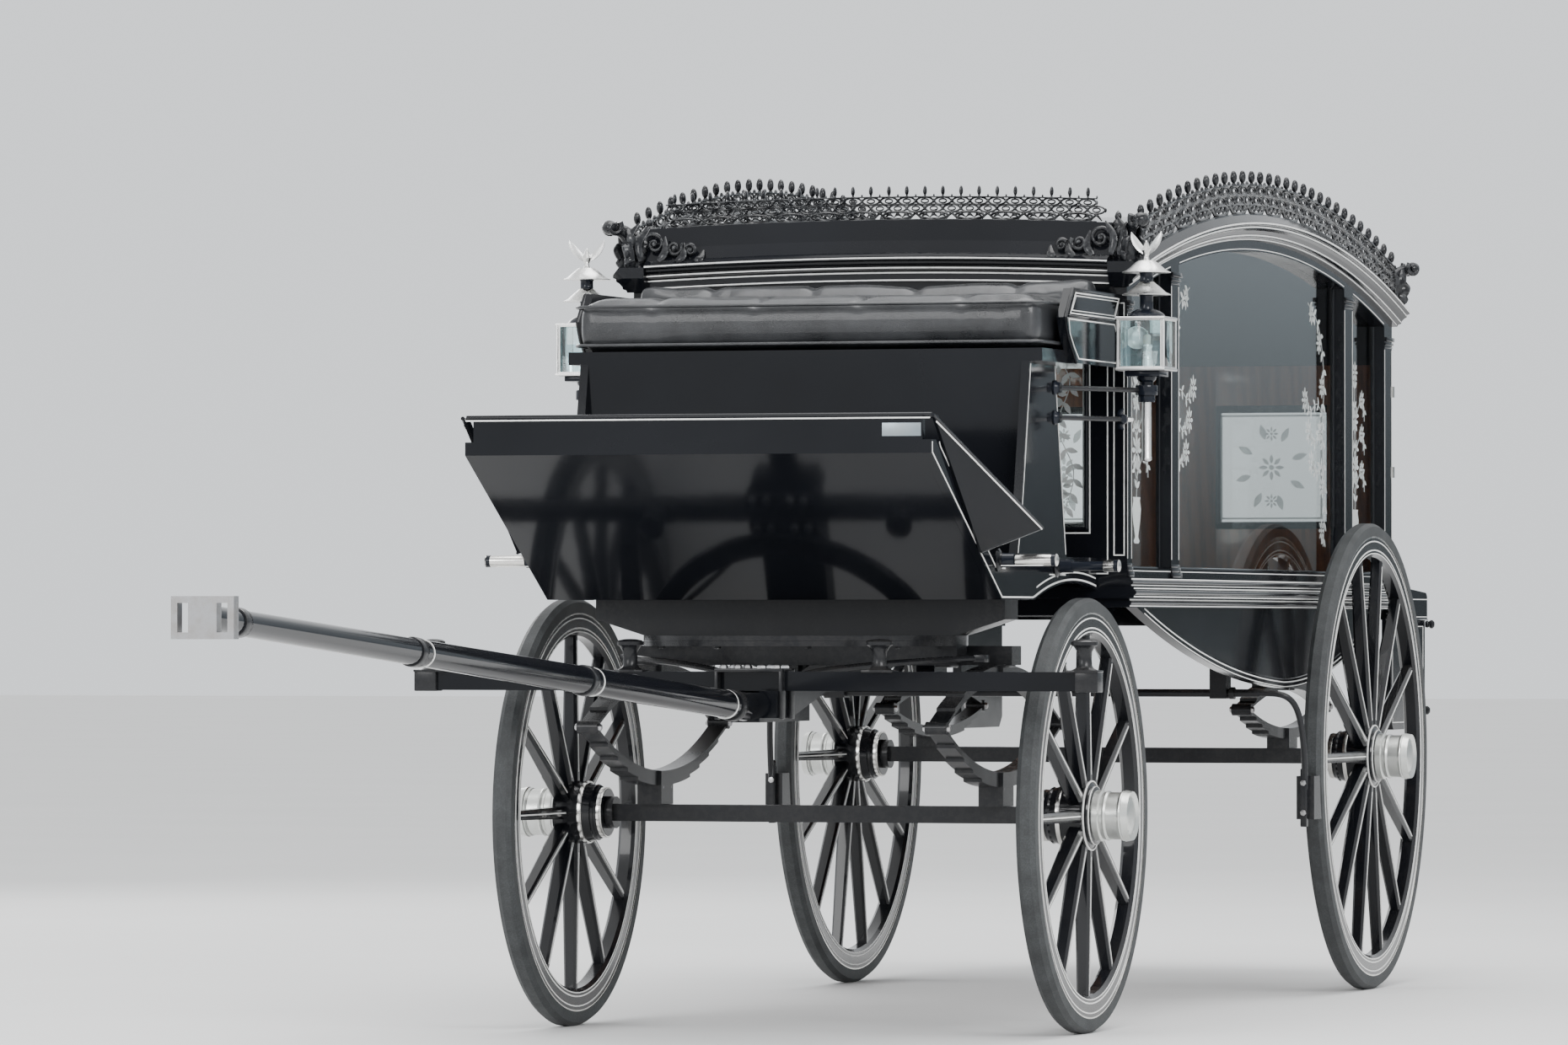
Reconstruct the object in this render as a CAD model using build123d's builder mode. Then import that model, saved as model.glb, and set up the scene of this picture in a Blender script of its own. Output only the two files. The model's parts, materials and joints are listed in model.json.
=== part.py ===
from build123d import *
from math import asin, atan, cos, degrees, sin, sqrt
import os

os.makedirs("parts", exist_ok=True)

# Horse-drawn glass-sided hearse, in millimetres.
# +Z is up, -Y is the way it is drawn and +X is its left side.
# The origin lies on the ground under the middle of its whole length, pole included.

# Running gear
wheelbase = 2540
front_wheel_diameter = 1016
rear_wheel_diameter = 1220
front_track = 1263
rear_track = 1417
front_spokes = 12
rear_spokes = 14
tyre_width = 46
tyre_depth = 34
felloe_width = 42
felloe_depth = 54
nave_radius = 72
nave_inner_length = 95
nave_outer_length = 34
hub_cap_radius = 60
hub_cap_length = 86
axle_bar = 40
axle_arm_radius = 22
bearing_gap = 0.08
spoke_width = 30
spoke_depth = 40
spoke_taper = 0.72

# Springs: half length, rise of one half at its main leaf, leaves, width
front_spring_half = 495
front_spring_rise = 108
front_spring_leaves = 5
rear_spring_half = 430
rear_spring_rise = 52
rear_spring_leaves = 4
leaf_thickness = 7
leaf_width = 45
front_spring_x = 420
rear_spring_x = 480
spring_pad = 45
rear_spring_pad = 25

# Fore-carriage, steered about a king pin that stands ahead of the front axle
king_pin_advance = 150
king_pin_radius = 18
bed_depth = 45
bed_width = 80
bed_half = 470
ring_radius = 380
ring_width = 50
ring_thickness = 12
ring_gap = 0.4
transom_depth = 125
transom_width = 110
transom_half = 500
futchell_width = 40
futchell_depth = 62
splinter_bar_ahead = 550
splinter_bar_half = 820
splinter_bar_depth = 44
splinter_bar_width = 50
roller_bolt_radius = 15
roller_bolt_height = 62
roller_bolt_end = 35
roller_bolt_inner = 300
roller_bolt_head = 6

# Pole
pole_reach = 4030
pole_butt_width = 68
pole_tip_diameter = 50
pole_rise_per_metre = 58
crab_width = 128
crab_height = 82
crab_depth = 26
crab_bar = 13

# Body of the hearse
front_wall_behind_axle = 440
body_length = 2770
body_half_width = 620
side_frame_thickness = 38
front_post = 45
front_pillar = 77
rear_pillar = 95
rear_post = 90
front_quarter_light = 370
rear_quarter_light = 365
eaves_above_sill = 754
arch_rise = 170
cornice_depth = 63
soffit_depth = 27
cornice_overhang = 40
roof_thickness = 15
waist_band_heights = (22, 27, 22)
waist_band_reach = (8, 22, 14)
waist_below_boot = 58
deck_thickness = 30
glass_thickness = 6
glass_lap = 12
bottom_rail = 22
belly_drop = 203
belly_low_ahead = 1200
belly_front_behind = 100
belly_front_bulge = 39
belly_rear_radius = 3100
belly_thickness = 20
belly_rail_height = 18
belly_rail_reach = 7
tail_overhang = 440
tail_depth = 325
tail_ledge_depth = 94
tail_board = 25

# Driver's boot and seat
boot_half_width = 550
boot_board = 20
boot_side_skirt = 42
footboard_foot = 410
footboard_top_ahead = 985
footboard_top_height = 325
dash_rim = 85
riser_front = 170
riser_rear = 55
seat_height = 555
seat_half_width = 605
seat_front = 30
seat_side_height = 175
cushion_height = 128
step_radius = 11
front_peg_ahead = 440
front_peg_drop = 12
front_peg_length = 128
rear_peg_behind = 60
rear_peg_drop = 22
rear_peg_length = 141
peg_collar = 40
peg_knob = 12
wing_flare = 70
wing_tip_ahead = 330
wing_tip_height = 165
wing_thickness = 8
wing_flange = 30
wing_foot_share = 0.33

# Lamps
lamp_x = 700
lamp_behind_axle = 320
lamp_width = 115
lamp_glass_height = 115
lamp_foot_height = 550
lamp_post = 9
lamp_plate = 6
lamp_dome_radius = 39
lamp_neck_radius = 15
lamp_brim_radius = 51
lamp_tier_height = 53
lamp_base_half = 42
lamp_stem_radius = 15
lamp_stem_length = 74
lamp_tube_radius = 11
lamp_tube_length = 137
lamp_arm_drop = 52
lamp_arm_spacing = 70

# Rear doors
door_gap = 8
door_thickness = 34
door_stile = 132
hinge_radius = 8
hinge_pin_radius = 4

# Brake
brake_shaft_ahead = 760
brake_shaft_radius = 10
brake_arm_radius = 8
brake_shaft_drop = 171
brake_shoe_gap = 8
brake_shoe_length = 110

# Places that follow from the sizes above
tail_reach = front_wall_behind_axle + body_length + tail_overhang
front_axle_y = (pole_reach - tail_reach) / 2
rear_axle_y = front_axle_y + wheelbase
king_pin_y = front_axle_y - king_pin_advance
front_axle_z = front_wheel_diameter / 2
rear_axle_z = rear_wheel_diameter / 2
front_spring_pack = front_spring_leaves * leaf_thickness
rear_spring_pack = rear_spring_leaves * leaf_thickness
front_spring_z = front_axle_z + axle_bar / 2 + spring_pad + front_spring_pack + front_spring_rise
rear_spring_z = rear_axle_z + axle_bar / 2 + rear_spring_pad + rear_spring_pack + rear_spring_rise
bed_z = front_spring_z + front_spring_rise + front_spring_pack
lower_ring_z = bed_z + bed_depth
upper_ring_z = lower_ring_z + ring_thickness + ring_gap
transom_z = upper_ring_z + ring_thickness
boot_floor_z = transom_z + transom_depth
waist_z = boot_floor_z - waist_below_boot
sill_z = waist_z + sum(waist_band_heights)
front_wall_y = front_axle_y + front_wall_behind_axle
rear_wall_y = front_wall_y + body_length
body_middle_y = (front_wall_y + rear_wall_y) / 2
frame_inner_x = body_half_width - side_frame_thickness
eaves_z = sill_z + eaves_above_sill
arch_half_span = body_length / 2 + cornice_overhang
arch_radius = (arch_half_span**2 + arch_rise**2) / (2 * arch_rise)
arch_centre_z = eaves_z + arch_rise - arch_radius
cornice_low_radius = arch_radius - cornice_depth
soffit_radius = cornice_low_radius - soffit_depth


def save(piece, name):
    """Label a finished piece and write it as its own file."""
    piece.label = name
    export_step(piece, f"parts/{name}.step")


def block(low, high):
    """Return a plain block between two corners."""
    with BuildPart(mode=Mode.PRIVATE) as solid:
        with Locations(tuple((a + b) / 2 for a, b in zip(low, high))):
            Box(*[b - a for a, b in zip(low, high)])
    return solid.part


def rod(start, end, radius):
    """Return a round bar from one point to another."""
    run = Vector(*end) - Vector(*start)
    with BuildPart(mode=Mode.PRIVATE) as solid:
        with BuildSketch(Plane(origin=start, z_dir=run)):
            Circle(radius)
        extrude(amount=run.length)
    return solid.part


def both_sides(*pieces):
    """Return solids of the left side together with their mirror images."""
    with BuildPart(mode=Mode.PRIVATE) as solid:
        for piece in pieces:
            add(piece)
        mirror(about=Plane.YZ)
    return solid.part


def arched_board(x_low, x_high, y_low, y_high, z_low, radius):
    """Return an upright board whose top follows the arch of the roof."""
    height = arch_centre_z + radius - z_low
    with BuildPart(mode=Mode.PRIVATE) as solid:
        with BuildSketch(Plane.YZ.offset(x_low)):
            with Locations(((y_low + y_high) / 2, z_low + height / 2)):
                Rectangle(y_high - y_low, height)
            with Locations((body_middle_y, arch_centre_z)):
                Circle(radius, mode=Mode.INTERSECT)
        extrude(amount=x_high - x_low)
    return solid.part


def side_profile(points, x_low, x_high):
    """Return a board cut to an outline of (Y, Z) points."""
    with BuildPart(mode=Mode.PRIVATE) as solid:
        with BuildSketch(Plane.YZ.offset(x_low)):
            with BuildLine():
                Polyline(*points, close=True)
            make_face()
        extrude(amount=x_high - x_low)
    return solid.part


# Wheels. Each is made about the X axis, its rim at X = 0 and its outer face towards +X.
def wheel_woodwork(diameter, spokes):
    """Return felloe, spokes and nave of one wheel."""
    felloe_outer = diameter / 2 - tyre_depth
    felloe_inner = felloe_outer - felloe_depth
    with BuildPart(mode=Mode.PRIVATE) as spoke:
        with BuildSketch(Plane.YZ.offset(nave_radius - 6)):
            Rectangle(spoke_width, spoke_depth)
            chamfer(vertices(), length=7)
        with BuildSketch(Plane.YZ.offset(felloe_inner + 3)):
            Rectangle(spoke_width * spoke_taper, spoke_depth * spoke_taper)
            chamfer(vertices(), length=7 * spoke_taper)
        loft()
    with BuildPart(Plane.YZ, mode=Mode.PRIVATE) as wheel:
        with BuildSketch(Plane.XZ):
            with Locations((0, (felloe_outer + felloe_inner) / 2)):
                Rectangle(felloe_width, felloe_depth)
            chamfer(vertices().sort_by(Axis.Y)[:2], length=8)
        revolve(axis=Axis.X)
        with BuildSketch(Plane.XZ):
            with BuildLine():
                Polyline(
                    (-nave_inner_length, axle_arm_radius + bearing_gap),
                    (-nave_inner_length, nave_radius - 16),
                    (-spoke_depth, nave_radius),
                    (spoke_depth / 2, nave_radius + 8),
                    (spoke_depth / 2 + 4, nave_radius - 4),
                    (nave_outer_length, nave_radius - 8),
                    (nave_outer_length, axle_arm_radius + bearing_gap),
                    close=True,
                )
            make_face()
        revolve(axis=Axis.X)
        with PolarLocations(0, spokes):
            add(spoke.part)
    return wheel.part


def wheel_tyre(diameter):
    """Return the solid rubber tyre of one wheel."""
    with BuildPart(mode=Mode.PRIVATE) as tyre:
        with BuildSketch(Plane.XZ):
            with Locations((0, diameter / 2 - tyre_depth / 2)):
                Rectangle(tyre_width, tyre_depth)
            chamfer(vertices().sort_by(Axis.Y)[-2:], length=tyre_depth / 4, length2=tyre_width / 4)
        revolve(axis=Axis.X)
    return tyre.part


def wheel_cap():
    """Return the turned hub cap that screws on the nave's outer end."""
    cap_end = nave_outer_length + hub_cap_length
    with BuildPart(mode=Mode.PRIVATE) as cap:
        with BuildSketch(Plane.XZ):
            with BuildLine():
                Polyline(
                    (nave_outer_length, 0),
                    (nave_outer_length, hub_cap_radius),
                    (nave_outer_length + 14, hub_cap_radius),
                    (nave_outer_length + 18, hub_cap_radius - 5),
                    (cap_end - 20, hub_cap_radius - 5),
                    (cap_end - 16, hub_cap_radius),
                    (cap_end, hub_cap_radius - 3),
                    (cap_end - 6, hub_cap_radius - 14),
                    (cap_end - 6, 0),
                    close=True,
                )
            make_face()
        revolve(axis=Axis.X)
    return cap.part


def place_wheel(piece, x, y, z, side):
    """Return a wheel piece at its hub, turned outwards on its own side."""
    with BuildPart(mode=Mode.PRIVATE) as placed:
        with Locations((x * side, y, z)):
            add(piece if side > 0 else mirror(piece, about=Plane.YZ, mode=Mode.PRIVATE))
    return placed.part


# Place name, diameter, spokes, track, Y
wheel_sets = (
    ("front", front_wheel_diameter, front_spokes, front_track, front_axle_y),
    ("rear", rear_wheel_diameter, rear_spokes, rear_track, rear_axle_y),
)
for set_name, diameter, spokes, track, y in wheel_sets:
    woodwork = wheel_woodwork(diameter, spokes)
    tyre = wheel_tyre(diameter)
    cap = wheel_cap()
    for side_name, side in (("left", 1), ("right", -1)):
        for part_name, piece in (("wheel", woodwork), ("tyre", tyre), ("hub_cap", cap)):
            placed = place_wheel(piece, track / 2, y, diameter / 2, side)
            save(placed, f"{part_name}_{set_name}_{side_name}")


# Axles
def axle(track, y, z):
    """Return an axle: square bar, collars and the round arms in the naves."""
    arm_start = track / 2 - nave_inner_length
    collar = 20
    return both_sides(
        block((0, y - axle_bar / 2, z - axle_bar / 2), (arm_start - collar, y + axle_bar / 2, z + axle_bar / 2)),
        rod((arm_start - collar, y, z), (arm_start - 1, y, z), axle_arm_radius + 16),
        rod((arm_start - 1, y, z), (track / 2 + nave_outer_length - 6, y, z), axle_arm_radius),
    )


save(axle(front_track, front_axle_y, front_axle_z), "front_axle")
save(axle(rear_track, rear_axle_y, rear_axle_z), "rear_axle")


# Elliptic springs
def half_spring(half, rise, leaves, y, z, x):
    """Return the upper half of an elliptic spring, longest leaf innermost."""
    curve = (half**2 + rise**2) / (2 * rise)
    with BuildPart(mode=Mode.PRIVATE) as pack:
        for leaf in range(leaves):
            reach = half * (1 - 0.15 * leaf)
            with BuildSketch(Plane.YZ.offset(x - leaf_width / 2)):
                with Locations((y, z + rise - curve)):
                    Circle(curve + (leaf + 1) * leaf_thickness)
                    Circle(curve + leaf * leaf_thickness, mode=Mode.SUBTRACT)
                with Locations((y, z + rise)):
                    Rectangle(2 * reach, 2 * rise + 4 * leaves * leaf_thickness, mode=Mode.INTERSECT)
            extrude(amount=leaf_width)
    return pack.part


def elliptic_spring(half, rise, leaves, pad, y, z, x):
    """Return a full elliptic spring with its eye bolts and the pad on its axle."""
    upper = half_spring(half, rise, leaves, y, z, x)
    pack = leaves * leaf_thickness
    foot = z - rise - pack
    with BuildPart(mode=Mode.PRIVATE) as spring:
        add(upper)
        mirror(upper, about=Plane.XY.offset(z))
        for end in (-1, 1):
            with BuildSketch(Plane.YZ.offset(x - leaf_width / 2 - 3)):
                with Locations((y + end * half, z)):
                    Circle(leaf_thickness * 2)
            extrude(amount=leaf_width + 6)
        add(block((x - 30, y - 45, foot - pad), (x + 30, y + 45, foot + pack)))
        add(block((x - 30, y - 45, z + rise), (x + 30, y + 45, z + rise + pack)))
    return spring.part


save(
    both_sides(
        elliptic_spring(
            front_spring_half, front_spring_rise, front_spring_leaves,
            spring_pad, front_axle_y, front_spring_z, front_spring_x,
        )
    ),
    "front_springs",
)
save(
    both_sides(
        elliptic_spring(
            rear_spring_half, rear_spring_rise, rear_spring_leaves,
            rear_spring_pad, rear_axle_y, rear_spring_z, rear_spring_x,
        )
    ),
    "rear_springs",
)


# Fore-carriage
def ring_plate(z):
    """Return one flat ring of the turntable."""
    with BuildPart(mode=Mode.PRIVATE) as ring:
        with BuildSketch(Plane.XY.offset(z)):
            with Locations((0, king_pin_y)):
                Circle(ring_radius)
                Circle(ring_radius - ring_width, mode=Mode.SUBTRACT)
        extrude(amount=ring_thickness)
    return ring.part


bed_front_y = king_pin_y - bed_width / 2
bed_rear_y = front_axle_y + bed_width / 2
with BuildPart() as turntable_lower:
    add(ring_plate(lower_ring_z))
    for y, half in ((front_axle_y, bed_half), (king_pin_y, ring_radius)):
        add(block((-half, y - bed_width / 2, bed_z), (half, y + bed_width / 2, lower_ring_z)))
    with Locations((0, king_pin_y, bed_z)):
        Cylinder(king_pin_radius + bearing_gap, 4 * bed_depth, mode=Mode.SUBTRACT)
save(turntable_lower.part, "turntable_lower")

boot_front_y = front_axle_y - footboard_foot
with BuildPart() as turntable_upper:
    add(ring_plate(upper_ring_z))
    with BuildSketch(Plane.XZ.offset(-king_pin_y - transom_width / 2)):
        with BuildLine():
            Polyline(
                (-transom_half, boot_floor_z),
                (-transom_half, transom_z + 0.3 * transom_depth),
                (-ring_radius, transom_z),
                (ring_radius, transom_z),
                (transom_half, transom_z + 0.3 * transom_depth),
                (transom_half, boot_floor_z),
                close=True,
            )
        make_face()
    extrude(amount=transom_width)
    add(rod((0, king_pin_y, bed_z - 30), (0, king_pin_y, transom_z), king_pin_radius))
save(turntable_upper.part, "turntable_upper")

splinter_y = front_axle_y - splinter_bar_ahead
futchell_top = bed_z
splinter_z = bed_z - 57
futchell_nose = splinter_y - splinter_bar_width - 20
with BuildPart() as futchells:
    for side in (-1, 1):
        x_inner = side * pole_butt_width / 2
        x_outer = side * (pole_butt_width / 2 + futchell_width)
        add(
            side_profile(
                (
                    (futchell_nose, splinter_z),
                    (splinter_y + splinter_bar_width, splinter_z),
                    (king_pin_y - bed_width, futchell_top),
                    (bed_rear_y, futchell_top),
                    (bed_rear_y, futchell_top - futchell_depth),
                    (king_pin_y - bed_width, futchell_top - futchell_depth),
                    (splinter_y + splinter_bar_width, splinter_z - futchell_depth),
                    (futchell_nose, splinter_z - futchell_depth),
                ),
                min(x_inner, x_outer),
                max(x_inner, x_outer),
            )
        )
save(futchells.part, "futchells")

roller_z = splinter_z + splinter_bar_depth
with BuildPart() as splinter_bar:
    with BuildSketch(Plane.XY.offset(splinter_z)):
        with BuildLine():
            Polyline(
                (-splinter_bar_half, splinter_y - 12),
                (0, splinter_y - splinter_bar_width / 2),
                (splinter_bar_half, splinter_y - 12),
                (splinter_bar_half, splinter_y + splinter_bar_width / 2),
                (-splinter_bar_half, splinter_y + splinter_bar_width / 2),
                close=True,
            )
        make_face()
    extrude(amount=splinter_bar_depth)
    for x in (splinter_bar_half - roller_bolt_end, roller_bolt_inner):
        for side in (-1, 1):
            with BuildSketch(Plane.XY.offset(roller_z)):
                with Locations((side * x, splinter_y)):
                    Circle(roller_bolt_radius)
            extrude(amount=roller_bolt_height)
            with BuildSketch(Plane.XY.offset(roller_z + roller_bolt_height)):
                with Locations((side * x, splinter_y)):
                    Circle(roller_bolt_radius * 2)
            extrude(amount=roller_bolt_head)
save(splinter_bar.part, "splinter_bar")

pole_butt_y = king_pin_y - bed_width
pole_tip_y = front_axle_y - pole_reach
pole_slope = pole_rise_per_metre / 1000
pole_butt_z = splinter_z - pole_butt_width / 2 - 4
pole_tip_z = pole_butt_z + pole_slope * (splinter_y - pole_tip_y)
crab_y = pole_tip_y + crab_depth
with BuildPart() as pole:
    add(
        block(
            (-pole_butt_width / 2, futchell_nose, pole_butt_z - pole_butt_width / 2),
            (pole_butt_width / 2, pole_butt_y, pole_butt_z + pole_butt_width / 2),
        )
    )
    pole_foot = Vector(0, futchell_nose + 20, pole_butt_z)
    pole_run = Vector(0, crab_y + 2, pole_tip_z) - pole_foot
    with BuildSketch(Plane(origin=pole_foot, x_dir=(1, 0, 0), z_dir=pole_run)) as pole_section:
        Circle(pole_butt_width / 2 - 1)
    pole_taper = degrees(atan((pole_butt_width / 2 - 1 - pole_tip_diameter / 2) / pole_run.length))
    extrude(amount=pole_run.length, taper=pole_taper)
save(pole.part, "pole")

with BuildPart() as pole_head:
    with BuildSketch(Plane.XZ.offset(-crab_y)):
        with Locations((0, pole_tip_z)):
            Rectangle(crab_width, crab_height)
            Rectangle(crab_width - 2 * crab_bar, crab_height - 2 * crab_bar, mode=Mode.SUBTRACT)
            Rectangle(pole_tip_diameter + 8, crab_height)
    extrude(amount=crab_depth)
save(pole_head.part, "pole_head")

# Body: waist mouldings, deck, under-frame, belly and tail
with BuildPart() as waist:
    level = waist_z
    for height, reach in zip(waist_band_heights, waist_band_reach):
        with BuildSketch(Plane.XY.offset(level)):
            with Locations((0, body_middle_y)):
                Rectangle(2 * (body_half_width + reach), body_length + 2 * reach)
                Rectangle(2 * frame_inner_x, body_length - 2 * side_frame_thickness, mode=Mode.SUBTRACT)
            if level == waist_z:
                with Locations((0, front_wall_y)):
                    Rectangle(2 * boot_half_width, 4 * side_frame_thickness, mode=Mode.SUBTRACT)
        extrude(amount=height)
        level += height
save(waist.part, "waist_moulding")

deck_front_y = front_wall_y + side_frame_thickness
deck_rear_y = rear_wall_y - side_frame_thickness
deck_z = sill_z - deck_thickness
save(block((-frame_inner_x, deck_front_y, deck_z), (frame_inner_x, deck_rear_y, sill_z)), "deck")

belly_z = waist_z - belly_drop
belly_front_y = front_wall_y + belly_front_behind
belly_low_y = rear_wall_y - belly_low_ahead
belly_rear_y = belly_low_y + sqrt(belly_rear_radius**2 - (belly_rear_radius - belly_drop) ** 2)
tail_y = rear_wall_y + tail_overhang

under_sill_front = front_wall_y + 300
under_sill_rear = deck_rear_y
under_sill_depth = 85
rear_spring_top = rear_spring_z + rear_spring_rise + rear_spring_pack
with BuildPart() as under_frame:
    for side in (-1, 1):
        x = side * rear_spring_x
        add(block((x - 25, under_sill_front, deck_z - under_sill_depth), (x + 25, under_sill_rear, deck_z)))
    for share in (0.0, 0.25, 0.5, 0.75, 1.0):
        y = under_sill_front + 40 + share * (under_sill_rear - under_sill_front - 80)
        add(block((-rear_spring_x, y - 30, deck_z - 60), (rear_spring_x, y + 30, deck_z)))
    add(
        both_sides(
            block(
                (rear_spring_x - 25, rear_axle_y - 60, rear_spring_top),
                (rear_spring_x + 25, rear_axle_y + 60, deck_z - under_sill_depth),
            )
        )
    )
save(under_frame.part, "under_frame")


def belly_side():
    """Return the left belly panel with its rail, the lower edge two arcs that meet at the lowest point."""
    x = body_half_width - belly_thickness - 10
    front_middle = Vector((belly_front_y + belly_low_y) / 2, (waist_z + belly_z) / 2)
    front_chord = Vector(belly_low_y - belly_front_y, belly_z - waist_z)
    bulge = Vector(front_chord.Y, -front_chord.X).normalized() * belly_front_bulge
    rear_mid = (belly_rear_y - belly_low_y) / 2
    with BuildSketch(mode=Mode.PRIVATE) as outline:
        with BuildLine():
            ThreePointArc(
                (belly_front_y, waist_z),
                (front_middle.X + bulge.X, front_middle.Y + bulge.Y),
                (belly_low_y, belly_z),
            )
            ThreePointArc(
                (belly_low_y, belly_z),
                (
                    belly_low_y + rear_mid,
                    belly_z + belly_rear_radius - sqrt(belly_rear_radius**2 - rear_mid**2),
                ),
                (belly_rear_y, waist_z),
            )
            Line((belly_rear_y, waist_z), (belly_front_y, waist_z))
        make_face()
    with BuildPart(mode=Mode.PRIVATE) as panel:
        with BuildSketch(Plane.YZ.offset(x)):
            add(outline.sketch)
        extrude(amount=belly_thickness)
        with BuildSketch(Plane.YZ.offset(x)):
            add(outline.sketch)
            with Locations((0, belly_rail_height)):
                add(outline.sketch, mode=Mode.SUBTRACT)
        extrude(amount=belly_thickness + belly_rail_reach)
    return panel.part


belly_left = belly_side()
save(belly_left, "belly_panel_left")
save(mirror(belly_left, about=Plane.YZ), "belly_panel_right")

# Tail: a ledge behind the doors, open below, with a deep board at each side
tail_low_z = waist_z - tail_depth
tail_front_y = rear_wall_y + max(waist_band_reach)
tail_half = body_half_width - 4
ledge_low_z = sill_z - tail_ledge_depth - 4
with BuildPart() as tail_box:
    ledge_points = (
        (tail_front_y, ledge_low_z),
        (tail_front_y, sill_z - 4),
        (tail_y - 12, sill_z - 24),
        (tail_y, sill_z - 34),
        (tail_y, ledge_low_z),
    )
    add(side_profile(ledge_points, -tail_half, tail_half))
    add(
        block(
            (-tail_half + tail_board, tail_front_y - 1, ledge_low_z - 1),
            (tail_half - tail_board, tail_y - tail_board, sill_z - 34 - tail_board / 2),
        ),
        mode=Mode.SUBTRACT,
    )
    tail_side_points = (
        (rear_wall_y, ledge_low_z + 1),
        (tail_y - 30, ledge_low_z + 1),
        (tail_y - 30, tail_low_z + 30),
        (tail_y - 60, tail_low_z),
        (rear_wall_y + 30, tail_low_z),
        (rear_wall_y, tail_low_z + 30),
    )
    for x_low, x_high in ((tail_half - tail_board, tail_half), (-tail_half, -tail_half + tail_board)):
        add(side_profile(tail_side_points, x_low, x_high))
save(tail_box.part, "tail_box")

# Glazed upper body
light_bounds = (
    (front_wall_y + front_post, front_wall_y + front_post + front_quarter_light),
    (
        front_wall_y + front_post + front_quarter_light + front_pillar,
        rear_wall_y - rear_post - rear_quarter_light - rear_pillar,
    ),
    (rear_wall_y - rear_post - rear_quarter_light, rear_wall_y - rear_post),
)


def side_frame():
    """Return the left side frame: sill rail, two posts, two pillars and the arched head."""
    frame = arched_board(
        frame_inner_x, body_half_width, front_wall_y, rear_wall_y, sill_z, cornice_low_radius
    )
    with BuildPart(mode=Mode.PRIVATE) as side:
        add(frame)
        for y_low, y_high in light_bounds:
            add(
                arched_board(
                    frame_inner_x - 5, body_half_width + 5, y_low, y_high, sill_z + bottom_rail, soffit_radius
                ),
                mode=Mode.SUBTRACT,
            )
    return side.part


def side_glass():
    """Return the three panes of the left side, laid against the frame's inner face."""
    with BuildPart(mode=Mode.PRIVATE) as panes:
        for y_low, y_high in light_bounds:
            add(
                arched_board(
                    frame_inner_x - glass_thickness,
                    frame_inner_x,
                    y_low - glass_lap,
                    y_high + glass_lap,
                    sill_z + bottom_rail - glass_lap,
                    soffit_radius + glass_lap,
                )
            )
    return panes.part


frame_left = side_frame()
glass_left = side_glass()
save(frame_left, "side_frame_left")
save(mirror(frame_left, about=Plane.YZ), "side_frame_right")
save(glass_left, "glass_left")
save(mirror(glass_left, about=Plane.YZ), "glass_right")

end_head_z = arch_centre_z + sqrt(soffit_radius**2 - (body_length / 2) ** 2)
front_rail_height = 115
front_stile = 62
front_frame_depth = 30
front_glass_low = sill_z + front_rail_height
front_glass_high = end_head_z - 60
with BuildPart() as front_frame:
    add(
        block(
            (-frame_inner_x, front_wall_y, sill_z),
            (frame_inner_x, front_wall_y + front_frame_depth, end_head_z),
        )
    )
    add(
        block(
            (-frame_inner_x + front_stile, front_wall_y - 5, front_glass_low),
            (frame_inner_x - front_stile, front_wall_y + front_frame_depth + 5, front_glass_high),
        ),
        mode=Mode.SUBTRACT,
    )
save(front_frame.part, "front_frame")
save(
    block(
        (-frame_inner_x + front_stile - glass_lap, front_wall_y + front_frame_depth, front_glass_low - glass_lap),
        (
            frame_inner_x - front_stile + glass_lap,
            front_wall_y + front_frame_depth + glass_thickness,
            front_glass_high + glass_lap,
        ),
    ),
    "glass_front",
)

door_low_z = sill_z + bottom_rail + door_gap
door_high_z = end_head_z - 70
with BuildPart() as rear_frame:
    add(block((-frame_inner_x, deck_rear_y, sill_z), (frame_inner_x, rear_wall_y, sill_z + bottom_rail)))
    add(
        block(
            (-frame_inner_x, deck_rear_y, door_high_z + door_gap),
            (frame_inner_x, rear_wall_y, end_head_z),
        )
    )
save(rear_frame.part, "rear_frame")

# Rear doors, hung on pins at the corner posts
hinge_x = frame_inner_x - 3
hinge_y = rear_wall_y + hinge_radius + 3
door_outer_x = frame_inner_x - door_gap
door_front_y = rear_wall_y - door_thickness
hinge_levels = (0.12, 0.5, 0.88)
hinge_height = 60
door_height = door_high_z - door_low_z


def door_leaf():
    """Return the left door leaf with its window cut and its hinge knuckles."""
    with BuildPart(mode=Mode.PRIVATE) as leaf:
        add(block((door_gap / 2, door_front_y, door_low_z), (door_outer_x, rear_wall_y, door_high_z)))
        add(
            block(
                (door_gap / 2 + door_stile, door_front_y - 5, door_low_z + door_stile),
                (door_outer_x - door_stile, rear_wall_y + 5, door_high_z - door_stile),
            ),
            mode=Mode.SUBTRACT,
        )
        for share in hinge_levels:
            z = door_low_z + share * door_height
            add(rod((hinge_x, hinge_y, z), (hinge_x, hinge_y, z + hinge_height), hinge_radius))
            add(block((hinge_x - 60, rear_wall_y, z), (hinge_x - 2, hinge_y + 3, z + hinge_height)))
            add(
                rod((hinge_x, hinge_y, z - 5), (hinge_x, hinge_y, z + hinge_height + 5), hinge_pin_radius + bearing_gap),
                mode=Mode.SUBTRACT,
            )
    return leaf.part


def door_hinges():
    """Return the fixed halves of the left door's hinges, with their pins."""
    pieces = []
    for share in hinge_levels:
        z = door_low_z + share * door_height
        pieces.append(rod((hinge_x, hinge_y, z - 30), (hinge_x, hinge_y, z + hinge_height - 6), hinge_pin_radius))
        pieces.append(rod((hinge_x, hinge_y, z - 30), (hinge_x, hinge_y, z - 0.5), hinge_radius))
        pieces.append(block((hinge_x, rear_wall_y, z - 30), (hinge_x + 45, hinge_y + 3, z - 0.5)))
    return pieces


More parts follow.
